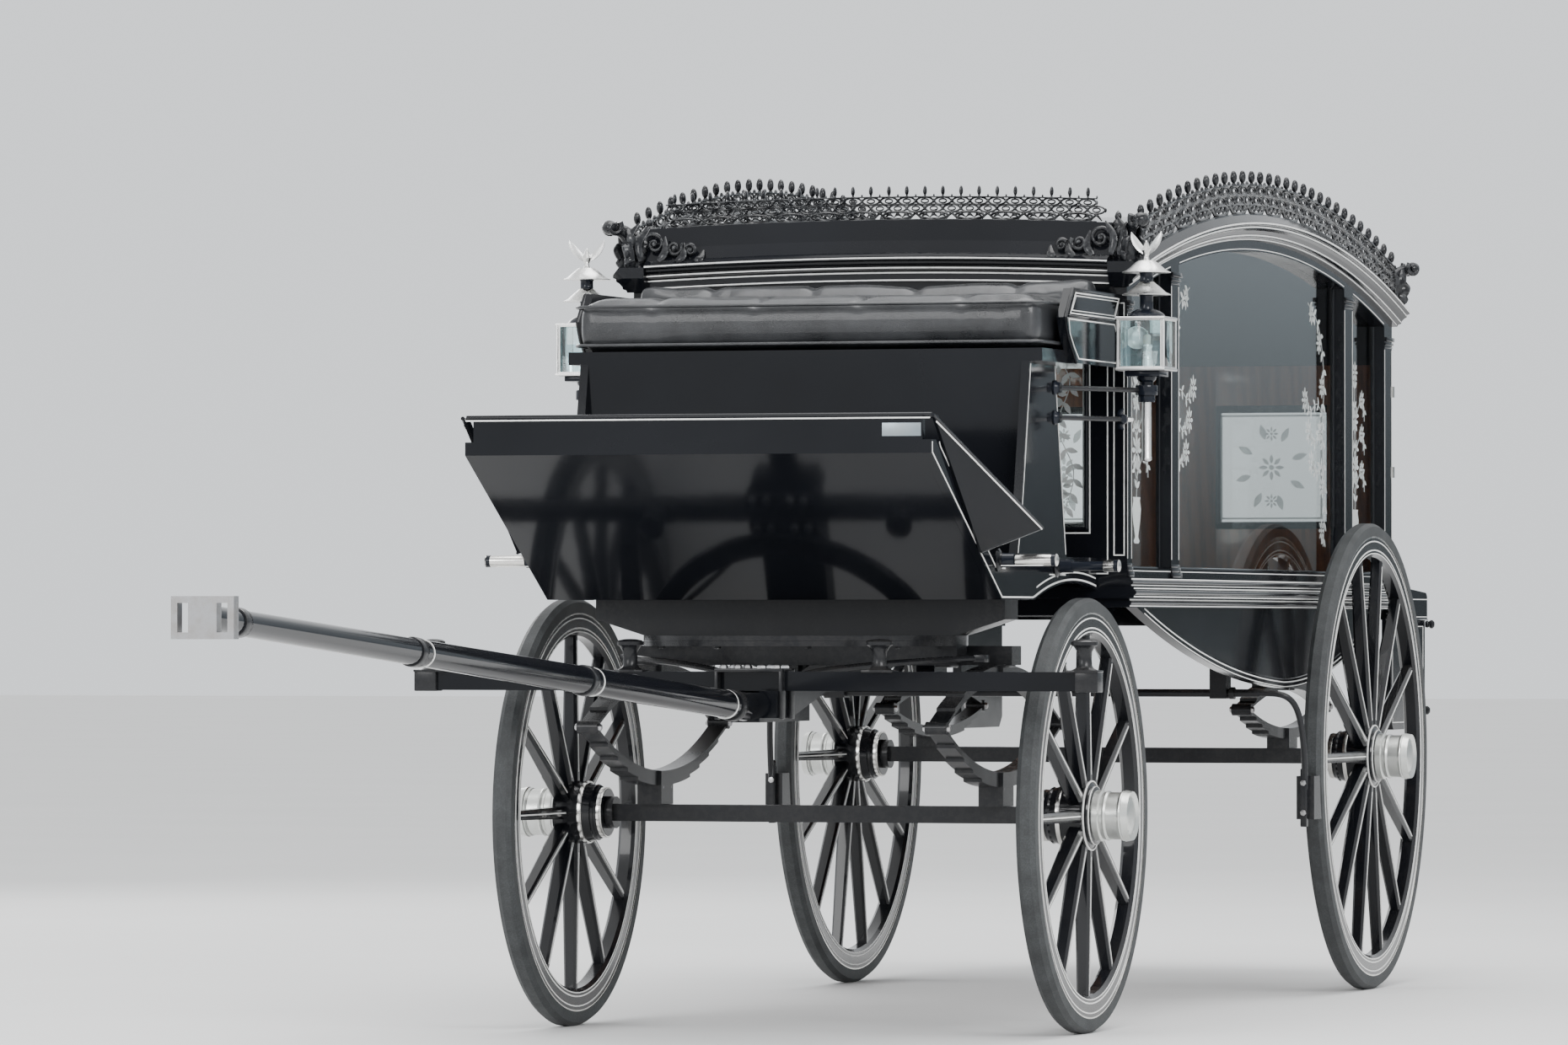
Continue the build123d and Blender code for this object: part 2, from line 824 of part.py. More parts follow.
leaf_left = door_leaf()
door_glass_left = block(
    (door_gap / 2 + door_stile - glass_lap, door_front_y - glass_thickness, door_low_z + door_stile - glass_lap),
    (door_outer_x - door_stile + glass_lap, door_front_y, door_high_z - door_stile + glass_lap),
)
save(leaf_left, "rear_door_left")
save(mirror(leaf_left, about=Plane.YZ), "rear_door_right")
save(door_glass_left, "door_glass_left")
save(mirror(door_glass_left, about=Plane.YZ), "door_glass_right")
save(both_sides(*door_hinges()), "door_hinges")

handle_z = door_low_z + 0.42 * door_height
handle_x = door_gap / 2 + door_stile / 2
with BuildPart() as door_handle:
    add(rod((handle_x, rear_wall_y, handle_z), (handle_x, rear_wall_y + 34, handle_z), 8))
    add(rod((handle_x, rear_wall_y + 34, handle_z - 45), (handle_x, rear_wall_y + 34, handle_z + 45), 7))
save(door_handle.part, "door_handle")

# Cornice, roof and gallery: mouldings turned along the arch of each side and the bow of each end
# Reach beyond the frame's face, drop below the top of the arch
cornice_profile = (
    (-side_frame_thickness, 0),
    (26, 0),
    (cornice_overhang, 17),
    (cornice_overhang, 24),
    (33, 27),
    (33, 34),
    (26, 39),
    (20, 48),
    (20, 54),
    (12, 57),
    (10, cornice_depth),
    (-side_frame_thickness, cornice_depth),
)
cornice_end_low_reach = 12
arch_middle = (0, body_middle_y, arch_centre_z)
arch_angle = asin((arch_half_span + 20) / arch_radius)
arch_start = Plane(
    origin=arch_middle, x_dir=(1, 0, 0), z_dir=(0, -cos(arch_angle), -sin(arch_angle))
)
with BuildPart() as cornice_side:
    with BuildSketch(arch_start):
        with BuildLine():
            Polyline(*[(body_half_width + reach, arch_radius - drop) for reach, drop in cornice_profile], close=True)
        make_face()
    revolve(axis=Axis(arch_middle, (-1, 0, 0)), revolution_arc=2 * degrees(arch_angle))
    mitre_top = eaves_z - 26
    mitre_low = eaves_z - cornice_depth - 10
    add(
        side_profile(
            (
                (front_wall_y - cornice_overhang, eaves_z + 2 * arch_rise),
                (front_wall_y - cornice_overhang, mitre_top),
                (front_wall_y - cornice_end_low_reach, mitre_low),
                (rear_wall_y + cornice_end_low_reach, mitre_low),
                (rear_wall_y + cornice_overhang, mitre_top),
                (rear_wall_y + cornice_overhang, eaves_z + 2 * arch_rise),
            ),
            0,
            body_half_width + 2 * cornice_overhang,
        ),
        mode=Mode.INTERSECT,
    )
end_low_z = arch_centre_z + sqrt(cornice_low_radius**2 - (body_length / 2) ** 2)
end_rise = 14
end_board = 30
end_height = 150
end_set_back = 6
end_curve = (frame_inner_x**2 + end_rise**2) / (2 * end_rise)
end_centre_z = end_low_z + end_rise - end_curve
# Reach beyond the wall, height above the lower edge: frieze, mouldings, then the cove that leans back
end_profile = (
    (-end_board, 0),
    (10, 0),
    (10, 26),
    (20, 30),
    (20, 37),
    (30, 44),
    (30, 49),
    (cornice_overhang, 52),
    (cornice_overhang, 61),
    (24, 70),
    (8, 100),
    (-end_set_back, end_height),
    (-end_board, end_height),
)


def end_cornice():
    """Return the shallow pediment across the front, bowed upwards."""
    angle = asin(frame_inner_x / end_curve)
    centre = (0, front_wall_y, end_centre_z)
    with BuildPart(mode=Mode.PRIVATE) as end:
        with BuildSketch(Plane(origin=centre, x_dir=(0, -1, 0), z_dir=(-cos(angle), 0, -sin(angle)))):
            with BuildLine():
                Polyline(*[(reach, end_curve + height) for reach, height in end_profile], close=True)
            make_face()
        revolve(axis=Axis(centre, (0, 1, 0)), revolution_arc=2 * degrees(angle))
        add(
            block(
                (-frame_inner_x, front_wall_y, end_head_z),
                (frame_inner_x, front_wall_y + end_board, end_low_z + 20),
            )
        )
        add(
            block(
                (-frame_inner_x, front_wall_y - 2 * cornice_overhang, end_head_z),
                (frame_inner_x, front_wall_y + end_board, end_low_z + 2 * end_height),
            ),
            mode=Mode.INTERSECT,
        )
    return end.part


front_cornice = end_cornice()
with BuildPart() as cornice:
    add(both_sides(cornice_side.part))
    add(front_cornice)
    add(mirror(front_cornice, about=Plane.XZ.offset(-body_middle_y), mode=Mode.PRIVATE))
save(cornice.part, "cornice")

with BuildPart() as roof:
    with BuildSketch(Plane.YZ.offset(-frame_inner_x)):
        with Locations((body_middle_y, arch_centre_z)):
            Circle(arch_radius)
            Circle(arch_radius - roof_thickness, mode=Mode.SUBTRACT)
        with Locations((body_middle_y, eaves_z)):
            Rectangle(body_length - 80, 2 * arch_rise + 2 * cornice_depth, mode=Mode.INTERSECT)
    extrude(amount=2 * frame_inner_x)
save(roof.part, "roof")

crest_height = 108
crest_pitch = 90
crest_thickness = 10
crest_x = body_half_width + 20
crest_end_gap = 55
end_crest_height = 80

# Outline of half a bud on the gallery's rail: share of the pitch outwards, share of the height upwards
crest_half_outline = ((0.09, 0.6), (0.22, 0.72), (0.15, 0.9))
crest_rail = 0.55
crest_foot = 0.1
# Piercings of one pitch: place along it, half width, then lower edge, widest level and upper edge
crest_piercings = ((0.5, 0.27, 0.1, 0.24, 0.44), (0.0, 0.13, 0.2, 0.34, 0.46))


def along_arc(points, curve, centre):
    """Return (along, up) points laid along an arc about a centre."""
    return [
        (centre[0] + (curve + up) * sin(along / curve), centre[1] + (curve + up) * cos(along / curve))
        for along, up in points
    ]


def crest_sketch(count, pitch, height, curve, centre):
    """Return the pierced gallery as a flat face: a foot, a rail and a row of buds along an arc."""
    half = [(-across * pitch, up * height) for across, up in crest_half_outline]
    bud = half + [(0, height)] + [(-across, up) for across, up in reversed(half)]
    end = count * pitch / 2
    points = [(-end, -crest_foot * height)]
    for number in range(count):
        start = number * pitch - end
        points.append((start, crest_rail * height))
        points += [(start + pitch / 2 + across, up) for across, up in bud]
    points.append((end, crest_rail * height))
    points += [(end - number * pitch, -crest_foot * height) for number in range(count)]
    with BuildSketch(mode=Mode.PRIVATE) as face:
        with BuildLine():
            Polyline(*along_arc(points, curve, centre), close=True)
        make_face()
        with Locations(centre):
            Circle(curve, mode=Mode.SUBTRACT)
        for place, width, low, wide, high in crest_piercings:
            for number in range(count if place else count - 1):
                middle = (number + (place or 1)) * pitch - end
                hole = (
                    (middle - 0.6 * width * pitch, low * height),
                    (middle - width * pitch, wide * height),
                    (middle, high * height),
                    (middle + width * pitch, wide * height),
                    (middle + 0.6 * width * pitch, low * height),
                )
                with BuildLine():
                    Polyline(*along_arc(hole, curve, centre), close=True)
                make_face(mode=Mode.SUBTRACT)
    return face.sketch


crest_count = round((body_length - crest_end_gap) / crest_pitch)
with BuildPart() as side_crest:
    with BuildSketch(Plane.YZ.offset(crest_x - crest_thickness)):
        add(crest_sketch(crest_count, crest_pitch, crest_height, arch_radius, (body_middle_y, arch_centre_z)))
    extrude(amount=crest_thickness)

end_crest_count = round(2 * (frame_inner_x - crest_end_gap) / crest_pitch)
end_crest_y = front_wall_y + end_set_back + 4
with BuildPart() as end_crest:
    with BuildSketch(Plane.XZ.offset(-end_crest_y - crest_thickness)):
        add(crest_sketch(end_crest_count, crest_pitch, end_crest_height, end_curve + end_height, (0, end_centre_z)))
    extrude(amount=crest_thickness)
with BuildPart() as gallery:
    add(both_sides(side_crest.part))
    add(end_crest.part)
    add(mirror(end_crest.part, about=Plane.XZ.offset(-body_middle_y), mode=Mode.PRIVATE))
save(gallery.part, "gallery_cresting")

# Corner finials: carved scrolls that stand across each corner and lean outwards
# Outline: place outwards from the corner, height above the eaves
scroll_outline = (
    (-46, -20), (-54, 58), (-52, 92), (-38, 132), (-24, 96), (-8, 74), (22, 98), (44, 122), (84, 96), (66, 62), (38, 26), (26, -20),
)
scroll_curl = (66, 100, 21)
scroll_bud = (-40, 84, 20)
scroll_thickness = 38
with BuildPart() as rear_scroll:
    scroll_plane = Plane(
        origin=(body_half_width - 4, rear_wall_y - 4, eaves_z), x_dir=(1, 1, 0), z_dir=(1, -1, 0)
    )
    with BuildSketch(scroll_plane):
        with BuildLine():
            Polyline(*scroll_outline, close=True)
        make_face()
        for across, up, radius in (scroll_curl, scroll_bud):
            with Locations((across, up)):
                Circle(radius)
    extrude(amount=scroll_thickness / 2, both=True)
with BuildPart() as corner_finials:
    add(both_sides(rear_scroll.part))
    mirror(about=Plane.XZ.offset(-body_middle_y))
    add(cornice.part, mode=Mode.SUBTRACT)
save(corner_finials.part, "corner_finials")

# Driver's boot: two side boards, floor, sloping footboard with its rim, and the seat riser
boot_top_y = front_axle_y - footboard_top_ahead
boot_foot_z = boot_floor_z - boot_side_skirt
footboard_top_z = boot_foot_z + footboard_top_height
riser_front_y = front_axle_y - riser_front
riser_rear_y = front_axle_y + riser_rear
seat_z = boot_foot_z + seat_height
skirt_top_z = boot_floor_z + 60
wheel_arch_y = front_axle_y + 213
wheel_arch_half = 345
wheel_arch_rise = 42
footboard_run = (boot_front_y - boot_top_y) / footboard_top_height
boot_rear_y = front_wall_y - max(waist_band_reach)


def boot_side():
    """Return the left side board, arched over the wheel and carried up as the seat riser."""
    band = 70
    curve = (wheel_arch_half**2 + wheel_arch_rise**2) / (2 * wheel_arch_rise)
    with BuildPart(mode=Mode.PRIVATE) as board:
        with BuildSketch(Plane.YZ.offset(boot_half_width - boot_board)):
            with BuildLine():
                Polyline(
                    (boot_front_y, boot_foot_z),
                    (boot_top_y, footboard_top_z),
                    (boot_top_y, footboard_top_z + 30),
                    (boot_top_y + band, footboard_top_z + 30),
                    (boot_front_y - footboard_run * (skirt_top_z - boot_foot_z) + band + 20, skirt_top_z),
                    (riser_front_y - 110, skirt_top_z),
                    (riser_front_y - 70, skirt_top_z + 130),
                    (riser_front_y, seat_z),
                    (riser_rear_y, seat_z),
                    (riser_rear_y + 20, seat_z - 110),
                    (riser_rear_y + 95, skirt_top_z),
                    (boot_rear_y, skirt_top_z),
                    (boot_rear_y, boot_foot_z),
                    close=True,
                )
            make_face()
            with Locations((wheel_arch_y, boot_foot_z + wheel_arch_rise - curve)):
                Circle(curve, mode=Mode.SUBTRACT)
        extrude(amount=boot_board)
    return board.part


boot_side_left = boot_side()
save(boot_side_left, "boot_side_left")
save(mirror(boot_side_left, about=Plane.YZ), "boot_side_right")

boot_inner_x = boot_half_width - boot_board
floor_front_y = boot_front_y + boot_board - footboard_run * boot_side_skirt
floor_points = (
    (floor_front_y, boot_floor_z),
    (floor_front_y - footboard_run * boot_board, boot_floor_z + boot_board),
    (boot_rear_y, boot_floor_z + boot_board),
    (boot_rear_y, boot_floor_z),
)
with BuildPart() as boot_floor:
    add(side_profile(floor_points, -boot_inner_x, boot_inner_x))
    for y_low, y_high, z_low in (
        (riser_front_y, riser_front_y + boot_board, boot_floor_z + boot_board),
        (riser_rear_y - boot_board, riser_rear_y, boot_floor_z + boot_board),
    ):
        add(block((-boot_inner_x, y_low, z_low), (boot_inner_x, y_high, seat_z)))
save(boot_floor.part, "boot_box")

footboard_points = (
    (boot_front_y - 2, boot_foot_z),
    (boot_front_y + boot_board, boot_foot_z),
    (boot_top_y + boot_board, footboard_top_z),
    (boot_top_y + boot_board, footboard_top_z + dash_rim),
    (boot_top_y, footboard_top_z + dash_rim),
    (boot_top_y, footboard_top_z),
)
save(side_profile(footboard_points, -boot_inner_x, boot_inner_x), "footboard")

wing_top = Vector(boot_half_width, boot_top_y, footboard_top_z + dash_rim)
wing_tip = Vector(boot_half_width + wing_flare, front_axle_y - wing_tip_ahead, boot_foot_z + wing_tip_height)
wing_foot = Vector(
    boot_half_width,
    boot_front_y - wing_foot_share * (boot_front_y - boot_top_y),
    boot_foot_z + wing_foot_share * footboard_top_height,
)
wing_normal = (wing_foot - wing_top).cross(wing_tip - wing_top)
wing_plane = Plane(origin=wing_top, x_dir=wing_tip - wing_top, z_dir=wing_normal)
with BuildPart() as wings:
    with BuildSketch(wing_plane):
        with BuildLine():
            Polyline(
                *[tuple(wing_plane.to_local_coords(corner))[:2] for corner in (wing_top, wing_tip, wing_foot)],
                close=True,
            )
        make_face()
    extrude(amount=wing_thickness)
    add(
        side_profile(
            (
                (wing_top.Y, wing_top.Z),
                (wing_foot.Y, wing_foot.Z),
                (wing_foot.Y + wing_flange, wing_foot.Z),
                (wing_top.Y + wing_flange, wing_top.Z),
            ),
            boot_half_width,
            boot_half_width + wing_thickness,
        )
    )
save(both_sides(wings.part), "dash_wings")

with BuildPart() as step_pegs:
    for y, z, length in (
        (front_axle_y - front_peg_ahead, skirt_top_z - front_peg_drop, front_peg_length),
        (front_axle_y + rear_peg_behind, skirt_top_z - rear_peg_drop, rear_peg_length),
    ):
        collar_x = boot_half_width + peg_collar
        knob_x = boot_half_width + length
        add(rod((boot_half_width, y, z), (collar_x, y, z), step_radius * 1.45))
        add(rod((collar_x, y, z), (knob_x, y, z), step_radius))
        add(rod((knob_x, y, z), (knob_x + peg_knob, y, z), step_radius * 1.27))
save(both_sides(step_pegs.part), "step_pegs")

seat_front_y = front_axle_y - seat_front
seat_top_z = seat_z + seat_side_height
seat_side_points = (
    (seat_front_y + 80, seat_z),
    (seat_front_y + 10, seat_z + 60),
    (seat_front_y - 15, seat_z + 105),
    (seat_front_y + 45, seat_top_z),
    (front_wall_y, seat_top_z),
    (front_wall_y, seat_z),
)
with BuildPart() as seat_box:
    add(side_profile(seat_side_points, seat_half_width - 25, seat_half_width))
    mirror(about=Plane.YZ)
    add(
        block(
            (-seat_half_width + 25, riser_front_y, seat_z),
            (seat_half_width - 25, front_wall_y, seat_z + 30),
        )
    )
save(seat_box.part, "seat_box")

seat_inner_x = seat_half_width - 25
cushion_gap = 0.3
cushion_low_z = seat_z + 30 + cushion_gap
roll_rear_y = front_wall_y - cornice_overhang - 5
roll_depth = 95
roll_height = 190
cushion_front_y = riser_front_y
cushion_rear_y = roll_rear_y - roll_depth - cushion_gap
with BuildPart() as seat_cushions:
    with BuildSketch(Plane.YZ.offset(-seat_inner_x + cushion_gap)):
        with Locations(((cushion_front_y + cushion_rear_y) / 2, cushion_low_z + cushion_height / 2)):
            RectangleRounded(cushion_rear_y - cushion_front_y, cushion_height, 40)
    extrude(amount=2 * (seat_inner_x - cushion_gap))
    with BuildSketch(Plane.YZ.offset(-seat_inner_x + cushion_gap)):
        with Locations((roll_rear_y - roll_depth / 2, cushion_low_z + roll_height / 2)):
            RectangleRounded(roll_depth, roll_height, 40)
    extrude(amount=2 * (seat_inner_x - cushion_gap))
save(seat_cushions.part, "seat_cushions")

# Lamps at the front corners, on arms from the seat riser
lamp_y = front_axle_y + lamp_behind_axle
lamp_low_z = boot_foot_z + lamp_foot_height
lamp_top_z = lamp_low_z + lamp_glass_height
# Chimney: radius, height above the lantern's top plate; two brims over necks, then a bud
lamp_dome = ((0, 0), (lamp_dome_radius, 0), (lamp_dome_radius - 3, 9), (22, 17), (lamp_neck_radius, 18))
lamp_tier = ((lamp_neck_radius, 36), (lamp_brim_radius, 36), (lamp_brim_radius - 2, 39))
lamp_bud = ((8, 82), (5, 92), (12, 106), (0, 131))
lamp_chimney = [*lamp_dome, *[(r, 18 + z) for r, z in lamp_tier], (18, 84), (14, 85)]
lamp_chimney += [(min(r, lamp_brim_radius) - (r == lamp_neck_radius), lamp_tier_height + 18 + z) for r, z in lamp_tier]
lamp_chimney += [(r, lamp_tier_height + z) for r, z in lamp_bud]
# Stem: radius, drop below the lantern's bottom plate; base block, neck, collar and candle tube
lamp_stem = (
    (0, 0),
    (lamp_stem_radius, 0),
    (lamp_stem_radius, lamp_stem_length - 18),
    (lamp_stem_radius + 4, lamp_stem_length - 16),
    (lamp_stem_radius + 4, lamp_stem_length),
    (lamp_tube_radius, lamp_stem_length + 1),
    (lamp_tube_radius, lamp_stem_length + lamp_tube_length),
    (0, lamp_stem_length + lamp_tube_length),
)
with BuildPart() as lamp:
    for z, half, height in (
        (lamp_low_z - lamp_plate, lamp_width / 2, lamp_plate),
        (lamp_top_z, lamp_width / 2, lamp_plate),
        (lamp_low_z - lamp_plate - 13, lamp_base_half, 13),
    ):
        add(block((lamp_x - half, lamp_y - half, z), (lamp_x + half, lamp_y + half, z + height)))
    for dx in (-1, 1):
        for dy in (-1, 1):
            with Locations(
                (
                    lamp_x + dx * (lamp_width - lamp_post) / 2,
                    lamp_y + dy * (lamp_width - lamp_post) / 2,
                    (lamp_low_z + lamp_top_z) / 2,
                )
            ):
                Box(lamp_post, lamp_post, lamp_top_z - lamp_low_z)
    for z, turned in (
        (lamp_top_z + lamp_plate, lamp_chimney),
        (lamp_low_z - lamp_plate, [(radius, -drop) for radius, drop in lamp_stem]),
    ):
        with BuildSketch(Plane(origin=(lamp_x, lamp_y, z), x_dir=(1, 0, 0), z_dir=(0, -1, 0))):
            with BuildLine():
                Polyline(*turned, close=True)
            make_face()
        revolve(axis=Axis((lamp_x, lamp_y, 0), (0, 0, 1)))
save(both_sides(lamp.part), "lamps")
with BuildPart() as lamp_glass:
    with Locations((lamp_x, lamp_y, (lamp_low_z + lamp_top_z) / 2)):
        Box(lamp_width - 2 * lamp_post, lamp_width - 2 * lamp_post, lamp_top_z - lamp_low_z)
save(both_sides(lamp_glass.part), "lamp_glasses")

lamp_arm_z = lamp_low_z - lamp_arm_drop
lamp_rod_z = lamp_arm_z - lamp_arm_spacing
arm_root_x = boot_half_width + 12
lamp_rod_end = (lamp_x - 42, lamp_y - 60, lamp_rod_z)
with BuildPart() as lamp_arms:
    with BuildSketch(Plane.XY.offset(lamp_arm_z - 10)):
        with Locations((lamp_x, lamp_y)):
            Circle(lamp_stem_radius + 9)
            Circle(lamp_stem_radius + cushion_gap, mode=Mode.SUBTRACT)
    extrude(amount=20)
    for y, z, end in (
        (riser_rear_y - 10, lamp_arm_z, (lamp_x - 16, lamp_y - 16, lamp_arm_z)),
        (riser_rear_y - 10, lamp_rod_z, lamp_rod_end),
    ):
        add(rod((boot_half_width, y, z), (arm_root_x + 4, y, z), 12))
        add(rod((arm_root_x, y, z), end, 6))
    with Locations(lamp_rod_end):
        Sphere(11)
save(both_sides(lamp_arms.part), "lamp_arms")

# Brake: cross-shaft, cranked arms and shoes ahead of the rear tyres
brake_y = rear_axle_y - brake_shaft_ahead
brake_z = deck_z - under_sill_depth - brake_shaft_drop
shoe_x = rear_track / 2
shoe_z = rear_axle_z - 96
shoe_face_y = rear_axle_y - rear_wheel_diameter / 2 - brake_shoe_gap
shoe_front_y = shoe_face_y - 60
arm_y = shoe_front_y - brake_arm_radius - 0.2
with BuildPart() as brake_gear:
    add(rod((0, brake_y, brake_z), (body_half_width - 10, brake_y, brake_z), brake_shaft_radius))
    with BuildLine() as brake_arm:
        Spline(
            (body_half_width - 12, brake_y, brake_z),
            (shoe_x - 26, brake_y + 6, brake_z - 12),
            (shoe_x - 4, brake_y + 36, brake_z - 62),
            (shoe_x, arm_y, shoe_z + 40),
            (shoe_x, arm_y, shoe_z - 30),
            tangents=((1, 0, 0), (0, 0, -1)),
        )
    with BuildSketch(Plane(origin=brake_arm.line @ 0, z_dir=brake_arm.line % 0)):
        Circle(brake_arm_radius)
    sweep()
    add(
        block(
            (rear_spring_x + 5, brake_y - 26, brake_z - 14),
            (rear_spring_x + 48, brake_y + 26, deck_z - under_sill_depth),
        )
    )
save(both_sides(brake_gear.part), "brake_gear")
with BuildPart() as brake_shoe:
    with BuildSketch(Plane.YZ.offset(shoe_x - tyre_width / 2)):
        with Locations((shoe_front_y + 45, shoe_z)):
            Rectangle(90, brake_shoe_length)
        with Locations((rear_axle_y, rear_axle_z)):
            Circle(rear_wheel_diameter / 2 + brake_shoe_gap, mode=Mode.SUBTRACT)
    extrude(amount=tyre_width)
save(both_sides(brake_shoe.part), "brake_shoes")
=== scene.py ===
"""Looks of a horse-drawn glass-sided hearse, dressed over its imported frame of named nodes."""

from __future__ import annotations

import json
import logging
import random
from collections.abc import Callable, Iterable, Sequence
from dataclasses import dataclass, field
from enum import Enum
from functools import cache
from math import atan2, cos, exp, pi, radians, sin, sqrt, tau

import bmesh
import bpy
from bpy.types import ID, Material, Mesh, Node, NodeTree, Object
from bpy.types import NodeSocket as Socket
from mathutils import Matrix, Vector

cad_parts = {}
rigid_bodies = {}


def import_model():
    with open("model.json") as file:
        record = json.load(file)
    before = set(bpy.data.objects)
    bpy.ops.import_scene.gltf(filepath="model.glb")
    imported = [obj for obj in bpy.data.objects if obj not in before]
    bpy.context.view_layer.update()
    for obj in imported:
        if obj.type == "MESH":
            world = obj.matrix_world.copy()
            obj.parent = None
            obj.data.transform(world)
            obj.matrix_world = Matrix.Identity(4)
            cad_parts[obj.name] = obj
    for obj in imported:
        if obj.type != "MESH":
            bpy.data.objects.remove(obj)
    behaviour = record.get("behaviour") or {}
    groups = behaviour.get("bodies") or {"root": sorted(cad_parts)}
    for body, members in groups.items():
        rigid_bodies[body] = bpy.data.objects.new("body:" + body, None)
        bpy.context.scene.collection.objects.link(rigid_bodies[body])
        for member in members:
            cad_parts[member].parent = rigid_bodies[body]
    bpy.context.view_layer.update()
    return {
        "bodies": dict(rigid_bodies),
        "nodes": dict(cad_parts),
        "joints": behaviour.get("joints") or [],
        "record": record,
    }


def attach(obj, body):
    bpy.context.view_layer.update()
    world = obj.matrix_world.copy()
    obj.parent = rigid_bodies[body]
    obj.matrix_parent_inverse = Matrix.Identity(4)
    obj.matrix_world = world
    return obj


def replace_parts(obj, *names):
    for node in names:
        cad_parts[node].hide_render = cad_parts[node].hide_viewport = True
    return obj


log = logging.getLogger("hearse")
MM = 0.001

Color = tuple[float, float, float]
Pair = tuple[float, float]
Row = Sequence[float]

# Sizes of the solids in millimetres, which the fine work follows
SIDE_FACE = 620.0
WALLS = (630.0, 3400.0)
ARCH = (2015.0, -4067.0)
ARCH_RADIUS = 6057.4
SOFFIT_RADIUS = 5967.4
BOW = (0.0, -10324.7)
BOW_RADIUS = 12103.9
OUTWARD = (1, 0, 0)
FORWARD = (0, -1, 0)
BACKWARD = (0, 1, 0)
UPWARD = (0, 0, 1)
ORIGIN = (0, 0, 0)


class Side(Enum):
    """Left is +X, right is -X."""

    LEFT = 1
    RIGHT = -1

    @property
    def word(self) -> str:
        """Name of the side as the nodes spell it."""
        return self.name.lower()


class Body(Enum):
    """Rigid bodies that a piece can ride on."""

    CARRIAGE = "carriage_body"
    FORE = "fore_carriage"
    DOOR_LEFT = "door_leaf_left"
    DOOR_RIGHT = "door_leaf_right"


DOORS = {Side.LEFT: Body.DOOR_LEFT, Side.RIGHT: Body.DOOR_RIGHT}


# Node helpers


class Graph:
    """A node tree under construction, with short ways to add and link nodes."""

    def __init__(self, tree: NodeTree) -> None:
        """Start from an emptied tree."""
        self.tree = tree
        tree.nodes.clear()

    def add(self, kind: str, **settings: object) -> Node:
        """Add a node and set its properties.

        Args:
            kind: the node's Blender type name.
            settings: property names and values.

        Returns:
            The new node.
        """
        node = self.tree.nodes.new(kind)
        for key, value in settings.items():
            setattr(node, key, value)
        return node

    def put(self, node: Node, **inputs: object) -> Node:
        """Set or link inputs, whose names are given with underscores for blanks.

        Args:
            node: the node whose inputs are set.
            inputs: a plain value, or a socket to link from.

        Returns:
            The same node.
        """
        for key, value in inputs.items():
            socket = node.inputs[key.replace("_", " ")]
            self.feed(socket, value)
        return node

    def feed(self, socket: Socket, value: object) -> None:
        """Link a socket to a socket, or give it a plain value."""
        if isinstance(value, Socket):
            self.tree.links.new(value, socket)
        else:
            socket.default_value = value

    def math(self, operation: str, *values: object) -> Socket:
        """Add a Math node and return its result.

        Args:
            operation: Blender's name of the sum.
            values: plain numbers or sockets.

        Returns:
            The result.
        """
        node = self.add("ShaderNodeMath", operation=operation)
        for socket, value in zip(node.inputs, values):
            self.feed(socket, value)
        return node.outputs[0]

    def ramp(self, value: object, stops: Sequence[Pair], stepped: bool = False) -> Socket:
        """Turn a value into another by a list of (place, level) stops.

        Args:
            value: the value that is turned.
            stops: place and level of each stop.
            stepped: whether levels jump instead of blending.

        Returns:
            The level.
        """
        node = self.add("ShaderNodeValToRGB")
        node.color_ramp.interpolation = "CONSTANT" if stepped else "LINEAR"
        elements = node.color_ramp.elements
        while len(elements) < len(stops):
            elements.new(0.5)
        for element, (place, level) in zip(elements, stops):
            element.position = place
            element.color = (level, level, level, 1)
        self.feed(node.inputs[0], value)
        return node.outputs[0]

    def mix(self, factor: object, low: object, high: object) -> Socket:
        """Mix two colours and return the result.

        Args:
            factor: share of the second colour.
            low: first colour.
            high: second colour.

        Returns:
            The mixed colour.
        """
        node = self.add("ShaderNodeMix", data_type="RGBA")
        self.feed(node.inputs[0], factor)
        self.feed(node.inputs[6], low)
        self.feed(node.inputs[7], high)
        return node.outputs[2]

    def noise(self, place: object, scale: float, detail: float = 4.0, rough: float = 0.55) -> Socket:
        """Add a noise texture on a vector and return its value.

        Args:
            place: the vector it reads.
            scale: size of its grain.
            detail: number of finer layers.
            rough: weight of the finer layers.

        Returns:
            The value of the noise.
        """
        node = self.add("ShaderNodeTexNoise")
        self.put(node, Vector=place, Scale=scale, Detail=detail, Roughness=rough)
        return node.outputs[0]

    def relief(self, height: object, strength: float, distance: float) -> Socket:
        """Add a Bump node on a height and return its normal."""
        node = self.add("ShaderNodeBump")
        return self.put(node, Strength=strength, Distance=distance, Height=height).outputs[0]

    def place(self) -> Socket:
        """Return the object coordinates."""
        return self.add("ShaderNodeTexCoord").outputs["Object"]

    def product(self, first: object, *others: object) -> Socket:
        """Return the product of several values."""
        for other in others:
            first = self.math("MULTIPLY", first, other)
        return first

    def scaled(self, value: object, share: float, offset: float) -> Socket:
        """Return a value times a share plus an offset."""
        return self.math("ADD", self.math("MULTIPLY", value, share), offset)


